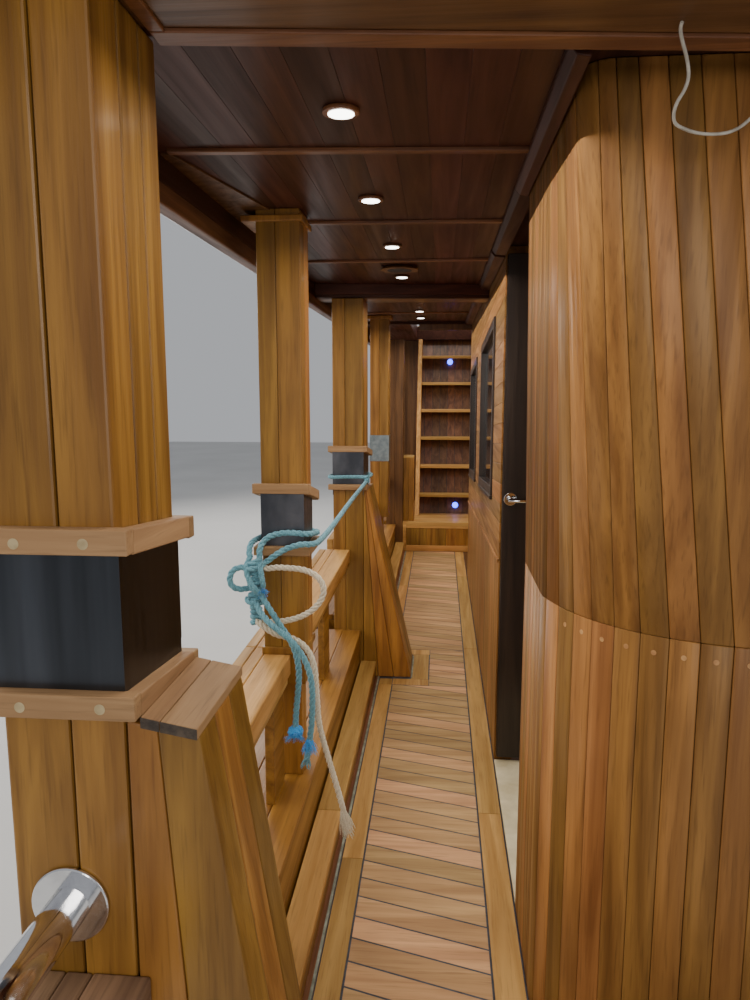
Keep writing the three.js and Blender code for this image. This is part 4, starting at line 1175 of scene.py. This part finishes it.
# %% Front wall and end bulkhead
DOORWAY_XS = (299.8, 875.2)
FRONT_CORE = (2839, 2862)
board((266.5, 299.8), FRONT_CORE, CORE_ZS, 0, 1)
board((875.2, INBOARD), FRONT_CORE, (12.5, CORE_TOP), 0, 1)
board(DOORWAY_XS, FRONT_CORE, (1900.2, CORE_TOP), 0, 1)
split("X", steps(875.2, INBOARD, WALL_PITCH), None, FRONT_YS, (0.5, WALL_TOP), 0.8, edge=2)
board((266.5, 299.8), FRONT_YS, (0.5, WALL_TOP), 2)
board(DOORWAY_XS, FRONT_YS, (1900.2, WALL_TOP), 2)
board((910.2, INBOARD), (2790.2, 2833), (12.5, WALL_TOP), 3)
settle("front_wall", "planks", [wall_z, caulk])
board((-599.5, 1099.5), (8066, 8094), CORE_ZS, 0, 1)
split("X", steps(CEILING_OUT, INBOARD, 85), None, (8060.2, FAR), WALL_ZS, 0.8, edge=2)
settle("end_bulkhead", "planks", [dark_z, caulk])

# %% Door
DOOR_XS, DOOR_ZS = (236.2, 899.8), (30.2, 1929.8)
board(DOOR_XS, (2796, 2820), DOOR_ZS, 1.5, 0, tone=0.3)
for xs in ((DOOR_XS[0], 336), (800, DOOR_XS[1])):
    board(xs, (2790.2, 2825.8), DOOR_ZS, 2.5, 0, tone=0.5)
for zs in ((DOOR_ZS[0], 210), (960, 1080), (1800, DOOR_ZS[1])):
    board((335, 801), (2790.4, 2825.6), zs, 2.5, 1, tone=0.5)
for zs in ((240, 930), (1110, 1770)):
    board((366, 770), (2792, 2824), zs, 6, 0, tone=0.7)
settle("door_leaf", "", [stain_z, stain_y], "door", "door_frame_and_panels")
round_part("Y", (264, 2782, 1050), 24, 7.6, 0, 32, 1.5)
round_part("Y", (264, 2742, 1050), 9, 42, 0, 20, 1)
round_part("X", (254, 2742, 1050), 8, 118, 0, 20, 3)
settle("door_handle", "lever", [chrome], "door")
for name in ("hinge_barrel", "hinge_leaf"):
    dress(name, steel)
for number, metal in enumerate((steel, dull_steel, dull_steel, zinc), 1):
    dress("post_%d_band" % number, metal)

# %% [markdown]
# ## The roof
#
# Narrow dark boards run along under the deck above, with thin battens across them and small round lamps
# between. Two deep beams cross under it, each with a paler strip along its lower edge.

# %% Ceiling
board(CEILING_XS, (NEAR, 5719.8), (1955, 1961.8), 0, 2)
split("X", steps(CEILING_OUT, 185.8, 71), None, (NEAR, 5680), (1950.2, 1957), 0.5, edge=0.3)
BATTENS = [
    # y at the outboard end, how much farther forward at the other
    (1626, 53),
    (2321, 32),
    (3018, 0),
    (4350, 0),
    (5020, 0),
]
# The battens take the dark teak raised to a pale tone (0.9): painted light standing for their lit undersides.
for start, gain in BATTENS:
    askew = lambda x, y, z: (x, y + gain * (x + 600) / 786, z)
    board((-578, 185.8), (start - 11, start + 11), (1942, 1951), 2, 5, askew, tone=0.9)
edge_board = [(CEILING_OUT, 1644), (-576, 1645), (-447, 2312), (CEILING_OUT, 2306)]
bar("Z", edge_board, (1945, 1950.6), 1, 3, tone=0.1)
for ys in ((1178, 1968), (1968, 2795), (2834, 3723), (3948, 5679)):
    inner = 211 if ys[0] < 1900 else 228
    bar("Y", [(178, 1950.5), (178, 1940), (190, 1926), (inner, 1922), (inner, 1950.5)], ys, 2, 0)
board((CEILING_OUT, HOUSE_SIDE), (5680.2, 5719.8), (1930.2, 1951), 3, 1)
board((-160, HOUSE_SIDE), (5684, 5716), (1888, 1931), 2, 3, tone=0.1)
round_part("Z", (-172, 3190, 1936.2), 80, 14, 3, 48, 4, 66)
round_part("Z", (-172, 3190, 1934.5), 50, 3, 2, 32, 0.5)
for x, y in ((-184, 1430), (-188, 2062), (-173, 2715), (-174, 3430), (-135, 4900), (-138, 5340)):
    round_part("Z", (x, y, 1942.2), 34, 8, 3, 32, 2)
    round_part("Z", (x, y, 1940.8), 24, 2.5, 4, 32, 0.5)
settle("ceiling", "boards", [mahogany_y, mahogany_x, caulk, dark_z, lamp_white, dark_x])

# %% Beams and fascia
BEAM_SLANT = 0.107
BEAMS = [
    # number, y from and to at the big posts, inboard end, underside, step
    (1, 900, 1100, INBOARD, 1930.2, 6),
    (2, 3665, 3880, HOUSE_SIDE, 1884.2, 18),
]
for number, y0, y1, inner, foot, step in BEAMS:
    askew = lambda x, y, z: (x, y + BEAM_SLANT * (x + 400), z)
    reach = (CEILING_OUT, inner)
    board(reach, inside((y0, y1)), (foot + step, 1949.8), 2, 0, askew)
    board(reach, inside((y0, y1), 8), (foot + 2, foot + step + 1), 2, 0, askew)
    board(reach, (y0 + 30, y1 - 45), (foot, foot + 4), 1, 1, askew)
    if number == 1:
        board((-396, inner), (y1 - 42, y1 - 0.2), (foot - 5, foot + 3), 2, 1, askew, tone=0.95)
        board((-396, -374), (y0 + 2, y1 - 43), (foot - 5, foot + 3), 2, 1, askew, tone=0.8)
    settle("beam_%d" % number, "boards", [mahogany_x, dark_x])
FASCIA_XS = (-639.8, -600.2)
board(FASCIA_XS, LENGTH, (1892, 1961.8), 2, 0)
board(FASCIA_XS, LENGTH, (1845.2, 1893), 5, 1, tone=0.7)
settle("fascia", "boards", [mahogany_y, dark_y])

# %% Deck above
HATCH_XS, HATCH_YS = (-240, 400), (5740, 7900)
UPPER_OUT = -659.8
BESIDE_HATCH = ((NEAR, HATCH_YS[0]), (HATCH_YS[1], FAR))
# The slab under the planks has the dark mahogany finish, so its faces round the hatch read dark: painted
# shade.
for ys in BESIDE_HATCH:
    board((UPPER_OUT, INBOARD), ys, (1962.5, 2092), 0, 1)
for xs in ((UPPER_OUT, HATCH_XS[0]), (HATCH_XS[1], INBOARD)):
    board(xs, HATCH_YS, (1962.5, 2092), 0, 1)
marks = steps(UPPER_OUT, HATCH_XS[0], 84) + steps(*HATCH_XS, 80)[1:] + steps(HATCH_XS[1], INBOARD, 88)[1:]
for low, high in zip(marks, marks[1:]):
    in_hatch = low > HATCH_XS[0] - 1 and high < HATCH_XS[1] + 1
    for ys in BESIDE_HATCH if in_hatch else (LENGTH,):
        board((low + 2, high - 2), ys, (2086, 2099.8), 1.2, 0)
settle("upper_deck", "planks", [deck_y, mahogany_y])

# %% [markdown]
# ## Under the deck, the hull side and the far end
#
# Below the walkway sawn bearers carry the section. Strakes and a rub rail close its outboard side. At the
# far end a low platform leads to a steep ladder, closed behind, up to the deck above.

# %% Bearers and lining
board((-641, 1099), (701, 8099), (-208, -44), 0, 2)
for y in steps(700, 8020, 1220):
    board((OUTBOARD, INBOARD), inside((y, y + 80)), (-249.9, -209), 2, 0)
split("X", steps(OUTBOARD, INBOARD, 145), None, LENGTH, (-209.8, -198), 1.5, edge=1.5, finish=1)
for ys in ((NEAR, 712), (8088, FAR)):
    split("Z", [-209, -126, -42.2], (OUTBOARD, INBOARD), ys, None, 1.5, edge=1.5, finish=0)
split("Z", [-209, -126, -42.2], (1088, INBOARD), (712, 8088), None, 1.5, edge=1.5, finish=1)
split("X", steps(OUTBOARD, INBOARD, 290), None, LENGTH, (-52, -42.2), 1.5, edge=0, finish=1)
settle("deck_beams", "timber", [sawn_x, sawn_y, caulk])

# %% Hull side
HULL_LENGTH = 7400
board((-675, -645), (701, 8099), (-249, 219), 0, 1)
marks = steps(-249.8, 219.8, 118)
for zs in zip(marks, marks[1:]):
    joint = NEAR + HULL_LENGTH * chance.choice((0.38, 0.52, 0.66))
    split("Y", [NEAR, joint, FAR], (-679.8, -642.2), None, inside(zs, 0.8), edge=2)
settle("hull_planking", "", [dark_y, caulk], name="hull_strakes")
outline = [(-680.3, 20.2), (-699.8, 35), (-699.8, 85), (-680.3, 99.8)]
for ys in ((NEAR, 3400), (3401, 5900), (5901, FAR)):
    bar("Y", outline, ys, 2.5)
settle("rub_rail", "lengths", [dark_y])

# %% Platform and ladder
PLATFORM_TOP = 268
PLATFORM_XS = (-289.8, 429.8)
board((-288, 428), (6712, 8056), (0.5, 236), 0, 2)
split("X", steps(*PLATFORM_XS, 86), None, (6708, 6720), (52, 216), 0.8, edge=2, finish=1)
board(PLATFORM_XS, (6700.2, 6714), (0.3, 54), 4, 0)
board(PLATFORM_XS, (6703, 6718), (213, 233), 3, 0)
split("Y", [6700.2, 6790, 7210, 7630, 8057.8], PLATFORM_XS, None, (232, 267.8), 0.8, edge=3.5)
board((-321.5, -290.2), (6700.2, 6899.8), (0.3, 267.8), 3, 0)
settle("platform", "boards", [raw_x, varnish_z, caulk])
LADDER_FOOT = 7054
LADDER_RISE = 266
LADDER_SLOPE = 120 / LADDER_RISE
LADDER_XS = (-225, 375)


def leaning(z):
    return LADDER_FOOT + (z - PLATFORM_TOP) * LADDER_SLOPE


def follow(x, y, z):
    return x, y + (z - PLATFORM_TOP) * LADDER_SLOPE, z


for low, high in ((LADDER_XS[0], LADDER_XS[0] + 40), (LADDER_XS[1] - 40, LADDER_XS[1])):
    board(inside((low, high)), (LADDER_FOOT + 0.2, LADDER_FOOT + 149.8), (268.4, WALL_TOP), 3, 1, follow)
for step in range(6):
    z = 463 + step * LADDER_RISE
    board(inside(LADDER_XS, 20), (leaning(z) + 4, leaning(z) + 134), (z - 28, z), 3, 0)
settle("ladder", "boards", [raw_x, raw_z])
back = LADDER_FOOT + 150.4
board((-222, 372), (back + 0.3, back + 12), (268.7, CORE_TOP), 0, 1, follow)
split("X", steps(-224.8, 374.8, 76), None, (back, back + 13.4), (268.5, WALL_TOP), 0.8, edge=2, shape=follow)
settle("ladder_back", "boards", [dark_z, caulk])

# %% Handrail
round_part("Y", (-489, NEAR, 762), 27, 185, 0, 48, 1)
round_part("Y", (-489, 883.8, 762), 54, 5.8, 0, 64, 2)
settle("hand_tube", "and_flange", [chrome])

# %% Blue lamps on the back of the stair
for name, x, z in (("lamp_blue_low", 158, 350), ("lamp_blue_high", 98, 1734)):
    ball = bmesh.new()
    bmesh.ops.create_uvsphere(ball, u_segments=32, v_segments=16, radius=28)
    for face in ball.faces:
        face.smooth = True
    bmesh.ops.translate(ball, verts=ball.verts, vec=(x, leaning(z) + 130, z))
    lay(ball, 0)
    settle(None, "", [lamp_blue], name=name)

# %% [markdown]
# ## The floor
#
# The section stands on a plain pale floor.

# %% Floor
floor_material, tree, shader, place = new_material("studio floor")
greys = ramp(tree, noise(tree, place, 0.8, 3.0), (0.3, (0.52, 0.52, 0.51)), (0.7, (0.58, 0.58, 0.57)))
fill(tree, shader, Base_Color=greys, Roughness=0.7)
bm = bmesh.new()
bmesh.ops.create_grid(bm, x_segments=1, y_segments=1, size=20)
floor_mesh = bpy.data.meshes.new("studio_floor")
bm.to_mesh(floor_mesh)
bm.free()
floor_mesh.materials.append(floor_material)
floor = linked("studio_floor", floor_mesh)
print("the floor is", floor.dimensions.x, "m wide")
